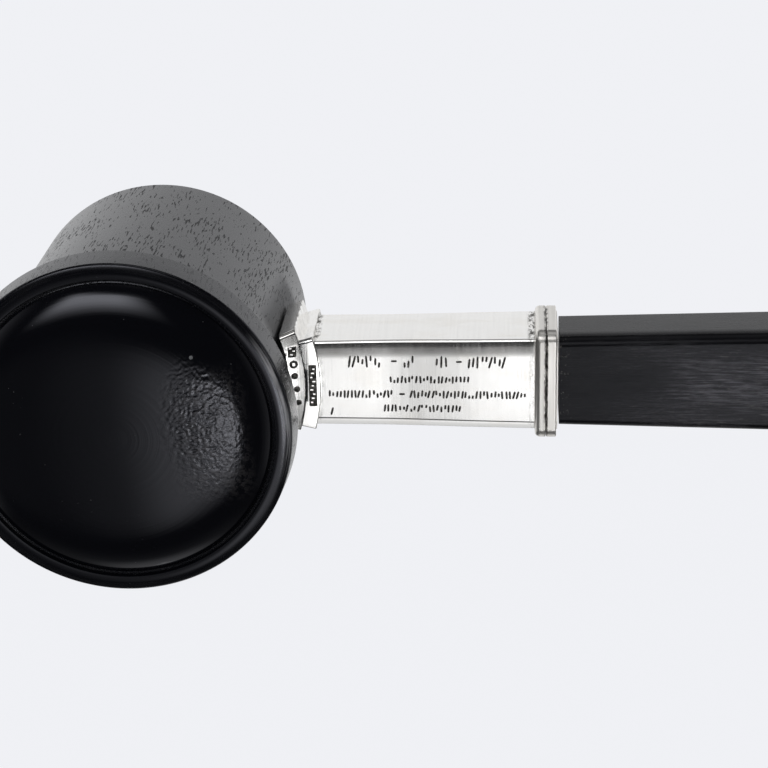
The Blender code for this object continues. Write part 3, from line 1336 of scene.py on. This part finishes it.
@dataclass(frozen=True)
class BeadSize:
    """A bead: where its middle is, half its width, and the shares of it that are rounded.

    The near share is on the head's side and the far share on the handle's side.
    """

    name: str
    distance: float
    radius: float
    near: float
    far: float


@dataclass(frozen=True)
class StrokeRow:
    """A row of cut strokes: where it starts and ends, its middle height and its size."""

    start: float
    end: float
    height: float
    size: float
    pitch: float


@dataclass(frozen=True)
class Engraving:
    """Four rows of short separate strokes on the sleeve's front. They spell nothing.

    A dash has its place along the handle and its height, and the scratch its lean in degrees
    and its length too.
    """

    rows: tuple[StrokeRow, ...] = (
        StrokeRow(0.0390, 0.0462, 0.0045, 0.0024, 0.00080),
        StrokeRow(0.0492, 0.0520, 0.0045, 0.0024, 0.00080),
        StrokeRow(0.0553, 0.0581, 0.0045, 0.0024, 0.00080),
        StrokeRow(0.0612, 0.0690, 0.0045, 0.0024, 0.00080),
        StrokeRow(0.0467, 0.0620, 0.0010, 0.0015, 0.00068),
        StrokeRow(0.0353, 0.0478, -0.0019, 0.0016, 0.00068),
        StrokeRow(0.0504, 0.0722, -0.0019, 0.0016, 0.00068),
        StrokeRow(0.0455, 0.0604, -0.0047, 0.0015, 0.00070),
    )
    shares: tuple[float, ...] = (0.45, 0.6, 0.8, 1.0, 1.0)
    lifts: tuple[float, ...] = (-0.5, 0.0, 0.5)
    leans: tuple[float, ...] = (-4.0, 2.0, 8.0, 15.0)
    wander: float = 0.12
    dashes: tuple[Pair, ...] = ((0.0477, 0.0046), (0.0597, 0.0046), (0.0491, -0.0019))
    dash_lean: float = 88.0
    dash_length: float = 0.0011
    scratch: tuple[float, float, float, float] = (0.0360, -0.0053, 14.0, 0.0016)
    stroke_length: float = 0.001
    stroke_radius: float = 0.00021
    sides: int = 12
    depth: float = 0.0003
    seed: int = 5

    def stroke(self) -> Piece:
        """One upright stroke with round ends, as a cutter through the front.

        Returns:
            The cutter, with its middle at the origin.
        """
        stroke = round_cutter("stroke", (0, 0, 0), self.stroke_radius, self.depth, self.sides)
        reach = self.stroke_length / 2 - self.stroke_radius
        for side in (-1, 1):
            Bench.nudge(stroke, lambda vert: vert.co.z * side > PLANE_TOLERANCE, (0, 0, side * reach))
        return stroke

    def cutters(self, front: Callable[[float], float]) -> Piece:
        """All the strokes as one cutter.

        Args:
            front: gives the front's depth at a distance from the turning axis.

        Returns:
            The cutter.
        """
        chance = random.Random(self.seed)
        marks = []
        for row in self.rows:
            count = int((row.end - row.start) / row.pitch)
            for number in range(count):
                share = chance.choice(self.shares)
                lift = (1 - share) * row.size * chance.choice(self.lifts)
                lean = chance.choice(self.leans) * share
                step = number + 0.5 + chance.uniform(-self.wander, self.wander)
                along = row.start + step * row.pitch
                marks.append((along, row.height + lift, lean, share * row.size))
        marks += [(*dash, self.dash_lean, self.dash_length) for dash in self.dashes]
        marks.append(self.scratch)
        upright = self.stroke()
        pieces = []
        for along, height, lean, length in marks:
            turn = Matrix.Rotation(math.radians(lean), 4, "Y")
            stretch = Matrix.Diagonal((1.0, 1.0, length / self.stroke_length, 1.0))
            place = Matrix.Translation((along, front(along), height))
            pieces.append(Bench.copy(upright, place @ turn @ stretch))
        bpy.data.objects.remove(upright, do_unlink=True)
        return Bench.join(pieces, "stroke_cutters")


@dataclass(frozen=True)
class PunchMarks:
    """Generic sunk marks on the saddle plates: plain shapes with small raised bars in them.

    A panel has its middle across and up, then its width and height. A round has its middle and
    its radius. The bars of the inner panel are placed by shares of its size.
    """

    depth: float = 0.00022
    corner: float = 0.00022
    corner_share: float = 0.3
    corner_steps: int = 3
    panel: tuple[float, float, float, float] = (0.0290, 0.0068, 0.0016, 0.0024)
    panel_bars: tuple[Pair, ...] = ((-0.22, 0.24), (0.18, 0.02), (-0.10, -0.26))
    panel_bar_share: float = 0.3
    rounds: tuple[Triple, ...] = (
        (0.0292, 0.0042, 0.00080),
        (0.0293, 0.0019, 0.00066),
        (0.0297, -0.0007, 0.00062),
        (0.0299, -0.0034, 0.00058),
    )
    round_sides: int = 20
    dot_shares: Pair = (0.6, 0.8)
    long_panel: tuple[float, float, float, float] = (0.03262, 0.0001, 0.0015, 0.0082)
    long_bars: int = 9
    long_bar_shift: float = 0.00022
    long_bar_growth: float = 0.35
    bar_width: float = 0.00042
    bar_height: float = 0.00026
    bar_reach: float = 1.5
    bar_proud: float = 0.00008

    def block(self, name: str, place: Triple, size: Triple) -> Piece:
        """A block with softened upright corners.

        Args:
            name: its name.
            place: its middle.
            size: its full sizes.

        Returns:
            The block.
        """
        Bench.clear()
        bpy.ops.mesh.primitive_cube_add(size=1, location=place)
        block = Bench.started(name)
        block.scale = size
        Bench.fix()
        corner = min(self.corner, self.corner_share * min(size[0], size[2]))
        Bench.bevel(block, lambda edge: abs(direction(edge).y) > ALONG_AXIS, corner, self.corner_steps)
        return block

    def bar(self, name: str, place: Pair, size: Pair, front: float) -> Piece:
        """A small raised block on a sunk mark's floor.

        Args:
            name: its name.
            place: its middle, across and up.
            size: its width and height.
            front: the depth of the plate's front.

        Returns:
            The block.
        """
        reach = self.depth * self.bar_reach
        middle = front + self.depth - reach / 2 + self.bar_proud
        return self.block(name, (place[0], middle, place[1]), (size[0], reach, size[1]))

    def inner_cutters(self, front: float) -> Piece:
        """The sunk panel and rounds of the inner plate, as one cutter.

        Args:
            front: the depth of the plate's front.

        Returns:
            The cutter.
        """
        x, z, width, height = self.panel
        pieces = [self.block("panel", (x, front, z), (width, 2 * self.depth, height))]
        for x, z, radius in self.rounds:
            pieces.append(round_cutter("round", (x, front, z), radius, self.depth, self.round_sides))
        return Bench.join(pieces, "inner_cutters")

    def outer_cutter(self, front: float) -> Piece:
        """The sunk long panel of the outer plate."""
        x, z, width, height = self.long_panel
        return self.block("outer_cutter", (x, front, z), (width, 2 * self.depth, height))

    def outer_raised(self, front: float) -> list[Piece]:
        """The small raised bars in the outer plate's long panel.

        Args:
            front: the depth of the plate's front.

        Returns:
            The bars.
        """
        x, z, _, height = self.long_panel
        step = height / (self.long_bars + 1)
        bars = []
        for number in range(self.long_bars):
            place = (x + self.long_bar_shift * (number % 3 - 1), z - height / 2 + step * (number + 1))
            width = self.bar_width * (1.0 + self.long_bar_growth * (number % 2))
            bars.append(self.bar("bar", place, (width, self.bar_height), front))
        return bars

    def inner_raised(self, front: float) -> list[Piece]:
        """The small raised bars in the inner plate's panel and the dot in its first round.

        Args:
            front: the depth of the plate's front.

        Returns:
            The bars and the dot.
        """
        x, z, width, height = self.panel
        size = (self.panel_bar_share * width, self.bar_height)
        places = [(x + across * width, z + up * height) for across, up in self.panel_bars]
        bars = [self.bar("bar", place, size, front) for place in places]
        x, z, radius = self.rounds[0]
        size = (self.dot_shares[0] * radius, self.dot_shares[1] * radius)
        return [*bars, self.bar("dot", (x, z), size, front)]


@dataclass
class Ferrule:
    """The silver ferrule: a tapered sleeve, two saddle plates and two beads.

    A rounded edge has its size, its facets and, where it isn't round, its fullness. The rows
    of the shoulder say how far below the front's upper edge they lie and how far back they
    curve.
    """

    placement: Placement
    centre: Pair = (0.0311, 0.0002)
    ends: Pair = (0.0325, 0.0779)
    steps: int = 28
    start_half_depth: float = 0.0073
    start_slope: float = -0.016
    front_margin: float = 0.002
    bends: tuple[Bend, ...] = (Bend(0.0445, 0.0515, 0.047), Bend(0.0585, 0.0650, -0.018))
    half_heights: Pair = (0.0089, 0.0096)
    rim_drop: float = 0.00075
    rim_arris: tuple[float, int, float] = (0.00020, 4, 0.5)
    back_arris: tuple[float, int, float] = (0.0012, 7, 0.5)
    chamfer: tuple[float, int, float] = (0.0023, 6, 0.3)
    shoulder: tuple[Pair, ...] = (
        (0.0, 0.000496),
        (0.00030, 0.000331),
        (0.00050, 0.000247),
        (0.00056, 0.000232),
        (0.00146, 0.000148),
        (0.00239, 0.000069),
        (0.0029, 0.000031),
        (0.0033, 0.000011),
        (0.0038, 0.0),
    )
    plate_front: float = 0.0229
    plate_steps: int = 24
    plate_arris: tuple[float, int] = (0.00022, 3)
    lip: tuple[float, int] = (0.0008, 5)
    lip_reach: float = 0.0009
    lip_angle: float = 0.001
    plates: tuple[Sector, ...] = (
        Sector("ferrule_inner_plate", 0.0282, 0.0314, -16.9, 20.1, 0.0415, 0.23),
        Sector("ferrule_outer_plate", 0.0312, 0.0341, -14.7, 16.2, 0.0400, 0.045),
    )
    beads: tuple[BeadSize, ...] = (
        BeadSize("ferrule_bead_1", 0.07472, 0.00099, 0.95, 0.16),
        BeadSize("ferrule_bead_2", 0.07672, 0.00096, 0.36, 0.25),
    )
    bead_corner: float = 0.00105
    bead_steps: int = 8
    crisp_angle: float = 35
    engraving: Engraving = Engraving()
    marks: PunchMarks = PunchMarks()

    def half_size(self, distance: float) -> Pair:
        """The size of the sleeve's section.

        Args:
            distance: the distance from the turning axis.

        Returns:
            Half its depth and half its height.
        """
        start, end = self.ends
        depth = self.start_half_depth + self.start_slope * (distance - start)
        depth += sum(bend.swell(distance) for bend in self.bends)
        low, high = self.half_heights
        return depth, low + (high - low) * (distance - start) / (end - start)

    def sleeve(self) -> Piece:
        """The sleeve, drawn out step by step, with a soft shoulder over its front.

        Returns:
            The sleeve, in the bar's frame.
        """
        start, end = self.ends
        stride = (end - start) / self.steps
        depths, heights = zip(self.half_size(start), self.half_size(start + stride))
        sleeve = tapered_bar("ferrule_sleeve", (start, start + stride), self.centre, depths, heights)
        Bench.edit(sleeve, "FACE")
        Bench.select(sleeve, "faces", lambda face: face.normal.x > ALONG_AXIS)
        depth, height = depths[1], heights[1]
        for number in range(2, self.steps + 1):
            place = start + number * stride
            next_depth, next_height = self.half_size(place)
            bpy.ops.mesh.extrude_region_move(TRANSFORM_OT_translate={"value": (stride, 0, 0)})
            growth = (1, next_depth / depth, next_height / height)
            bpy.ops.transform.resize(value=growth, center_override=(place, *self.centre))
            depth, height = next_depth, next_height
        Bench.done()
        self.draw_shoulder(sleeve)
        for test, arris in (
            (self.on_front_rim, self.rim_arris),
            (self.on_back_rim, self.back_arris),
            (self.on_foot, self.chamfer),
        ):
            Bench.bevel(sleeve, lambda edge: is_long_arris(edge) and test(edge), *arris)
        return sleeve

    def on_front_rim(self, edge: Edge) -> bool:
        """Whether an edge lies before and above the sleeve's middle."""
        return edge.verts[0].co.y < self.centre[0] and edge.verts[0].co.z > self.centre[1]

    def on_back_rim(self, edge: Edge) -> bool:
        """Whether an edge lies behind and above the sleeve's middle."""
        return edge.verts[0].co.y > self.centre[0] and edge.verts[0].co.z > self.centre[1]

    def on_foot(self, edge: Edge) -> bool:
        """Whether an edge lies below the sleeve's middle."""
        return edge.verts[0].co.z < self.centre[1]

    def draw_shoulder(self, sleeve: Piece) -> None:
        """Lower the front's upper edge and curve the front back towards it, row by row.

        Args:
            sleeve: the sleeve.
        """
        start, end = self.ends
        slope = (self.half_heights[1] - self.half_heights[0]) / (end - start)
        Bench.nudge(sleeve, self.row_test(-self.rim_drop), (0, 0, -self.rim_drop))
        for below, _ in self.shoulder[1:]:
            Bench.slice(sleeve, (start, self.centre[0], self.rim(start) - below), (-slope, 0, 1))
        for below, back in self.shoulder:
            Bench.nudge(sleeve, self.row_test(below), (0, back, 0))

    def row_test(self, below: float) -> Callable[[Corner], bool]:
        """A test for a row of the front's corners.

        Args:
            below: the row's distance below the front's upper edge.

        Returns:
            The test.
        """
        front = self.centre[0] - self.front_margin
        return lambda vert: (
            vert.co.y < front and abs(self.rim(vert.co.x) - below - vert.co.z) < ROW_TOLERANCE
        )

    def rim(self, distance: float) -> float:
        """The height of the front's upper edge at a distance from the turning axis."""
        return self.centre[1] + self.half_size(distance)[1] - self.rim_drop

    def front(self, distance: float) -> float:
        """The depth of the sleeve's front at a distance from the turning axis."""
        return self.centre[0] - self.half_size(distance)[0]

    def plate(self, sector: Sector) -> Piece:
        """One saddle plate: a rectangle spun round the turning axis, with a broad upper lip.

        Args:
            sector: its size.

        Returns:
            The plate, in the bar's frame.
        """
        width = sector.outer - sector.inner
        length = sector.back - self.plate_front
        middle = (sector.outer + sector.inner) / 2
        low = math.radians(sector.low_angle)
        high = math.radians(sector.high_angle)
        place = (middle * math.cos(low), self.plate_front + length / 2, middle * math.sin(low))
        Bench.clear()
        bpy.ops.mesh.primitive_plane_add(size=1, location=place, rotation=(0, -low, 0))
        plate = Bench.started(sector.name)
        plate.scale = (width, length, 1)
        Bench.fix()
        Bench.nudge(plate, lambda vert: self.leans(vert, middle), (0, sector.tilt * width, 0))
        Bench.edit(plate, "FACE")
        bpy.ops.mesh.select_all(action="SELECT")
        bpy.ops.mesh.spin(steps=self.plate_steps, angle=high - low, center=(0, 0, 0), axis=(0, 1, 0))
        Bench.done()
        Bench.tidy(plate)
        Bench.bevel(plate, lambda edge: self.on_lip(edge, high), *self.lip)
        Bench.bevel(plate, is_sharp, *self.plate_arris)
        return plate

    def leans(self, corner: Corner, middle: float) -> bool:
        """Whether a corner lies on a plate's front, on the outer side of its middle."""
        return corner.co.y < self.plate_front + PLANE_TOLERANCE and corner.co.xz.length > middle

    def on_lip(self, edge: Edge, high: float) -> bool:
        """Whether an edge is a plate's upper front edge.

        Args:
            edge: the edge.
            high: the angle of the plate's upper end, in radians.

        Returns:
            True if both its ends lie there.
        """
        deepest = self.plate_front + self.lip_reach
        return all(
            vert.co.y < deepest and math.atan2(vert.co.z, vert.co.x) > high - self.lip_angle
            for vert in edge.verts
        )

    def lean(self, sector: Sector) -> Matrix:
        """The turn, about its inner edge, that lays flat marks on a plate's leaning front."""
        edge = Matrix.Translation((sector.inner, self.plate_front, 0))
        return edge @ Matrix.Rotation(math.atan(sector.tilt), 4, "Z") @ edge.inverted()

    def bead(self, size: BeadSize) -> Piece:
        """A flattened bead: a soft square drawn along each side and spun round each corner.

        Args:
            size: its place and size.

        Returns:
            The bead, in the bar's frame.
        """
        depth, height = self.half_size(size.distance)
        corner = self.bead_corner
        y, z = self.centre
        start = (size.distance, y - depth, z - height + corner)
        Bench.clear()
        bpy.ops.mesh.primitive_plane_add(size=2 * size.radius, location=start)
        bead = Bench.started(size.name)
        Bench.fix()
        for side, share in ((-1, size.near), (1, size.far)):
            Bench.edit(bead, "VERT")
            Bench.select(bead, "verts", lambda vert: is_outer_corner(vert, start, side, size.radius))
            bpy.ops.mesh.bevel(
                offset=size.radius * share, segments=self.bead_steps, profile=0.5, affect="VERTICES"
            )
            Bench.done()
        Bench.edit(bead, "FACE")
        bpy.ops.mesh.select_all(action="SELECT")
        bpy.ops.mesh.delete(type="ONLY_FACE")
        bpy.ops.mesh.select_mode(type="EDGE")
        bpy.ops.mesh.select_all(action="SELECT")
        flat_depth, flat_height = depth - corner, height - corner
        for side, pivot in (
            ((0, 0, 2 * flat_height), (y - flat_depth, z + flat_height)),
            ((0, 2 * flat_depth, 0), (y + flat_depth, z + flat_height)),
            ((0, 0, -2 * flat_height), (y + flat_depth, z - flat_height)),
            ((0, -2 * flat_depth, 0), (y - flat_depth, z - flat_height)),
        ):
            bpy.ops.mesh.extrude_edges_move(TRANSFORM_OT_translate={"value": side})
            centre = (size.distance, *pivot)
            bpy.ops.mesh.spin(steps=self.bead_steps, angle=math.pi / 2, center=centre, axis=(1, 0, 0))
        Bench.done()
        Bench.tidy(bead)
        return bead

    def build(self) -> list[Piece]:
        """Make, place and dress the ferrule.

        Returns:
            Its pieces, of which the sleeve is the first.
        """
        silver = EngravedSilver(self.placement.bar).build()
        black = CutSilver(self.placement.bar).build()
        sleeve = self.sleeve()
        inner, outer = (self.plate(sector) for sector in self.plates)
        front = self.plate_front
        cuts = (
            (sleeve, self.engraving.cutters(self.front)),
            (inner, self.marks.inner_cutters(front)),
            (outer, self.marks.outer_cutter(front)),
        )
        bars = (self.marks.inner_raised(front), self.marks.outer_raised(front))
        for sector, (_, cutter), raised in zip(self.plates, cuts[1:], bars):
            for mark in (cutter, *raised):
                Bench.place(mark, self.lean(sector))
        for piece, cutter in cuts:
            piece.data.materials.append(silver)
            cutter.data.materials.append(black)
            Bench.cut(piece, cutter)
        raised = Bench.join([*bars[0], *bars[1]], "ferrule_raised_marks")
        pieces = [sleeve, inner, outer, raised, *(self.bead(size) for size in self.beads)]
        for piece in pieces:
            if not piece.data.materials:
                piece.data.materials.append(silver)
            Bench.place(piece, self.placement.bar)
            Bench.soften(piece, self.crisp_angle)
            Bench.hand_over(piece, Slot.ENGRAVED_SILVER, Node.FERRULE if piece is sleeve else None)
        return pieces


def is_sharp(edge: Edge) -> bool:
    """Whether an edge bends by more than the sharp angle."""
    return len(edge.link_faces) == 2 and edge.calc_face_angle() > math.radians(SHARP_ANGLE)


def direction(edge: Edge) -> Vector:
    """The unit vector along an edge."""
    return (edge.verts[1].co - edge.verts[0].co).normalized()


def is_long_arris(edge: Edge) -> bool:
    """Whether an edge is sharp and runs along X."""
    return is_sharp(edge) and abs(direction(edge).x) > ALONG_AXIS


def is_outer_corner(corner: Corner, middle: Triple, side: int, radius: float) -> bool:
    """Whether a corner of a square is the outer one on a side, -1 or 1, of its middle."""
    reach = radius - PLANE_TOLERANCE
    return (corner.co.x - middle[0]) * side > reach and corner.co.y < middle[1] - reach


def round_cutter(name: str, place: Triple, radius: float, depth: float, sides: int) -> Piece:
    """A round cutter across a front.

    Args:
        name: its name.
        place: its middle.
        radius: its radius.
        depth: how far it reaches to either side of the front.
        sides: how many facets it has.

    Returns:
        The cutter.
    """
    Bench.clear()
    bpy.ops.mesh.primitive_cylinder_add(
        vertices=sides, radius=radius, depth=2 * depth, location=place, rotation=(math.pi / 2, 0, 0)
    )
    cutter = Bench.started(name)
    Bench.fix()
    return cutter


def tapered_bar(
    name: str,
    ends: Pair,
    centre: Pair,
    half_depths: Pair,
    half_heights: Pair,
) -> Piece:
    """A rectangular bar along X whose section grows from end to end.

    Args:
        name: the piece's name.
        ends: where it starts and ends along X.
        centre: its middle, across and up.
        half_depths: half its size across at each end.
        half_heights: half its size up at each end.

    Returns:
        The bar.
    """
    Bench.clear()
    middle = (ends[0] + ends[1]) / 2
    bpy.ops.mesh.primitive_cube_add(size=1, location=(middle, *centre))
    bar = Bench.started(name)
    bar.scale = (ends[1] - ends[0], 2 * half_depths[0], 2 * half_heights[0])
    Bench.fix()
    Bench.edit(bar, "FACE")
    Bench.select(bar, "faces", lambda face: face.normal.x > ALONG_AXIS)
    growth = (1, half_depths[1] / half_depths[0], half_heights[1] / half_heights[0])
    bpy.ops.transform.resize(value=growth, center_override=(ends[1], *centre))
    Bench.done()
    return bar


# ---------------------------------------------------------------- handle


@dataclass
class Handle:
    """The flared ebony handle.

    A rounded edge has its size and its facets. The rows of the crown say how far behind the
    front they lie and how far down they ease.
    """

    placement: Placement
    centre: Pair = (0.0313, 0.0003)
    ends: Pair = (0.0782, 0.20795)
    half_depths: Pair = (0.0068, 0.0075)
    half_heights: Pair = (0.0087, 0.0115)
    arris: tuple[float, int] = (0.0014, 8)
    butt_arris: tuple[float, int] = (0.0009, 4)
    crisp_angle: float = 35
    crown: tuple[Pair, ...] = (
        (0.0, 0.000492),
        (0.0015, 0.000177),
        (0.0020, 0.000097),
        (0.0025, 0.000042),
        (0.0030, 0.000012),
        (0.0036, 0.0),
    )

    def ease_top(self, handle: Piece) -> None:
        """Ease the upper side down towards the front, row by row.

        Args:
            handle: the handle.
        """
        y, z = self.centre
        start, end = self.ends
        slope = (self.half_depths[1] - self.half_depths[0]) / (end - start)
        for behind, _ in self.crown[1:]:
            Bench.slice(handle, (start, y - self.half_depths[0] + behind, z), (slope, 1, 0))
        for behind, drop in self.crown:
            Bench.nudge(handle, self.row_test(behind, slope), (0, 0, -drop))

    def row_test(self, behind: float, slope: float) -> Callable[[bmesh.types.BMVert], bool]:
        """A test for a row of the upper side's corners.

        Args:
            behind: the row's distance behind the front.
            slope: how fast the front moves outwards along the handle.

        Returns:
            The test.
        """
        y, z = self.centre
        row = y - self.half_depths[0] + behind
        return lambda vert: (
            vert.co.z > z and abs(vert.co.y + slope * (vert.co.x - self.ends[0]) - row) < ROW_TOLERANCE
        )

    def build(self) -> Piece:
        """Make, place and dress the handle.

        Returns:
            The handle.
        """
        handle = tapered_bar("handle_bar", self.ends, self.centre, self.half_depths, self.half_heights)
        self.ease_top(handle)
        Bench.bevel(handle, is_long_arris, *self.arris)
        Bench.bevel(handle, self.at_butt, *self.butt_arris)
        Bench.place(handle, self.placement.bar)
        Bench.soften(handle, self.crisp_angle)
        handle.data.materials.append(HandledEbony(self.placement.bar).build())
        Bench.hand_over(handle, Slot.SATIN_EBONY, Node.HANDLE)
        return handle

    def at_butt(self, edge: Edge) -> bool:
        """Whether an edge is sharp and lies in the butt's plane."""
        butt = self.ends[1] - PLANE_TOLERANCE
        return is_sharp(edge) and all(vert.co.x > butt for vert in edge.verts)


# ---------------------------------------------------------------- studio


@dataclass(frozen=True)
class SoftLight:
    """A soft-edged studio light, far off, in the directions between its edges.

    The azimuth is 0 straight before the striking face and grows towards the handle, and the
    elevation is 0 level with the handle. Each fades in from its first edge to its second and out
    from its third to its fourth, in degrees.
    """

    azimuths: Window
    elevations: Window
    strength: float


@dataclass
class Studio:
    """The floor, the lights and the camera.

    The walls are lights that stand alike on both sides. The camera's place and directions are
    in the bar's frame, its place in head units.
    """

    placement: Placement
    pale: Colour = colour(0.887, 0.895, 0.929)
    daylight: Colour = colour(0.985, 0.99, 1.0)
    surround: float = 0.03
    lights: tuple[SoftLight, ...] = (
        SoftLight((0, 6, 15, 20), (-25, -21, -18, -13), 4.6),
        SoftLight((-12, -3, 14, 22), (-42, -26, -17, -8), 0.85),
        SoftLight((-100, -60, -16, -5), (-45, -30, -12, 2), 0.04),
        SoftLight((-22, -8, 12, 24), (-42, -30, -16, -6), 0.15),
        SoftLight((-47, -31, -10, 12), (10, 36, 40, 50), 3.3),
        SoftLight(ALL_ROUND, (60, 80, 100, 101), 0.5),
        SoftLight(ALL_ROUND, (-101, -100, -80, -50), 0.1),
        SoftLight(ALL_ROUND, (-101, -100, -86, -68), 0.4),
    )
    walls: tuple[SoftLight, ...] = (
        SoftLight((50, 115, 400, 401), (-50, -25, 26, 44), 0.85),
        SoftLight((130, 165, 400, 401), (-91, -90, -50, -25), 0.62),
    )
    eye: Triple = (2.2435, -11.1297, 4.5427)
    sight: Triple = (-0.0600, 0.9327, -0.3557)
    across: Triple = (0.9982, 0.0572, -0.0186)
    lens: float = 100.0
    clip: Pair = (0.01, 100.0)
    floor_glow: float = 0.97
    floor_size: float = 60
    floor_drop: float = 0.0001

    def light(self) -> None:
        """Light the scene from all round, square to the handle."""
        world = bpy.data.worlds.new("studio")
        bpy.context.scene.world = world
        world.use_nodes = True
        graph = Graph(world.node_tree)
        generated = graph.add("ShaderNodeTexCoord").outputs["Generated"]
        inputs = {"Vector": generated, "Rotation": self.placement.bar.to_euler("XYZ")}
        turned = graph.add("ShaderNodeMapping", inputs, vector_type="TEXTURE")
        side, depth, height = graph.split(turned.outputs["Vector"])
        azimuth = graph.math("ARCTAN2", side, graph.product(depth, -1.0))
        azimuth = graph.product(azimuth, math.degrees(1))
        elevation = graph.product(graph.math("ARCSINE", height), math.degrees(1))
        around = graph.math("ABSOLUTE", azimuth)
        patches = [self.patch(graph, azimuth, elevation, light) for light in self.lights]
        patches += [self.patch(graph, around, elevation, wall) for wall in self.walls]
        bright = graph.total(self.surround, *patches)
        studio = graph.add("ShaderNodeBackground", {"Color": self.daylight, "Strength": bright})
        backdrop = graph.add("ShaderNodeBackground", {"Color": self.pale, "Strength": 1.0})
        seen = graph.add("ShaderNodeLightPath").outputs["Is Camera Ray"]
        parts = {0: seen, 1: studio.outputs[0], 2: backdrop.outputs[0]}
        both = graph.add("ShaderNodeMixShader", parts)
        graph.add("ShaderNodeOutputWorld", {"Surface": both.outputs[0]})

    @staticmethod
    def patch(graph: Graph, azimuth: Socket, elevation: Socket, light: SoftLight) -> Socket:
        """One light's share of the brightness.

        Args:
            graph: the world's graph.
            azimuth: the direction's azimuth.
            elevation: its elevation.
            light: the light.

        Returns:
            The brightness.
        """
        across = graph.window(azimuth, light.azimuths)
        up = graph.window(elevation, light.elevations)
        return graph.product(across, up, light.strength)

    def floor(self) -> None:
        """Lay a plain pale floor, wide enough to fill the view."""
        Bench.clear()
        bpy.ops.mesh.primitive_plane_add(size=self.floor_size, location=(0, 0, -self.floor_drop))
        floor = Bench.started("floor")
        Bench.fix()
        material, graph = new_material("floor_paper")
        glow = graph.add("ShaderNodeEmission", {"Color": self.pale, "Strength": 1.0})
        paper = graph.add("ShaderNodeBsdfDiffuse", {"Color": self.pale})
        parts = {0: self.floor_glow, 1: paper.outputs[0], 2: glow.outputs[0]}
        both = graph.add("ShaderNodeMixShader", parts)
        graph.add("ShaderNodeOutputMaterial", {"Surface": both.outputs[0]})
        floor.data.materials.append(material)
        floor.visible_glossy = False
        floor.visible_shadow = False
        floor.visible_diffuse = False
        floor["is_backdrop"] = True

    def camera(self) -> None:
        """Stand the camera level with the handle, looking down on the face."""
        bar = self.placement.bar
        turn = bar.to_3x3()
        across = (turn @ Vector(self.across)).normalized()
        sight = turn @ Vector(self.sight)
        sight = (sight - across * sight.dot(across)).normalized()
        up = across.cross(sight)
        basis = Matrix((across, up, -sight)).transposed().to_4x4()
        data = bpy.data.cameras.new("camera")
        data.lens = self.lens
        data.clip_start, data.clip_end = self.clip
        camera = bpy.data.objects.new("camera", data)
        bpy.context.scene.collection.objects.link(camera)
        camera.matrix_world = Matrix.Translation(bar @ (Vector(self.eye) * HEAD_UNIT)) @ basis
        bpy.context.scene.camera = camera

    def build(self) -> None:
        """Set up the studio."""
        bpy.context.scene.view_settings.view_transform = "Standard"
        self.light()
        self.floor()
        self.camera()


def main(frame: dict, cad_box: tuple[Vector, Vector]) -> None:
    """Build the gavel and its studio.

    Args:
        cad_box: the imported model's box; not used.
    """
    placement = Placement.from_record(frame["record"])
    Bench.clear()
    pieces = [Head(placement).build()]
    pieces += Ferrule(placement).build()
    pieces.append(Handle(placement).build())
    for piece in pieces:
        LOG.info("%s: %d faces", piece.name, len(piece.data.polygons))
    Studio(placement).build()
    Bench.clear()


if __name__ == "__main__":
    logging.basicConfig(level=logging.INFO, format="%(message)s")
    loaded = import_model()
    main(loaded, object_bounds())
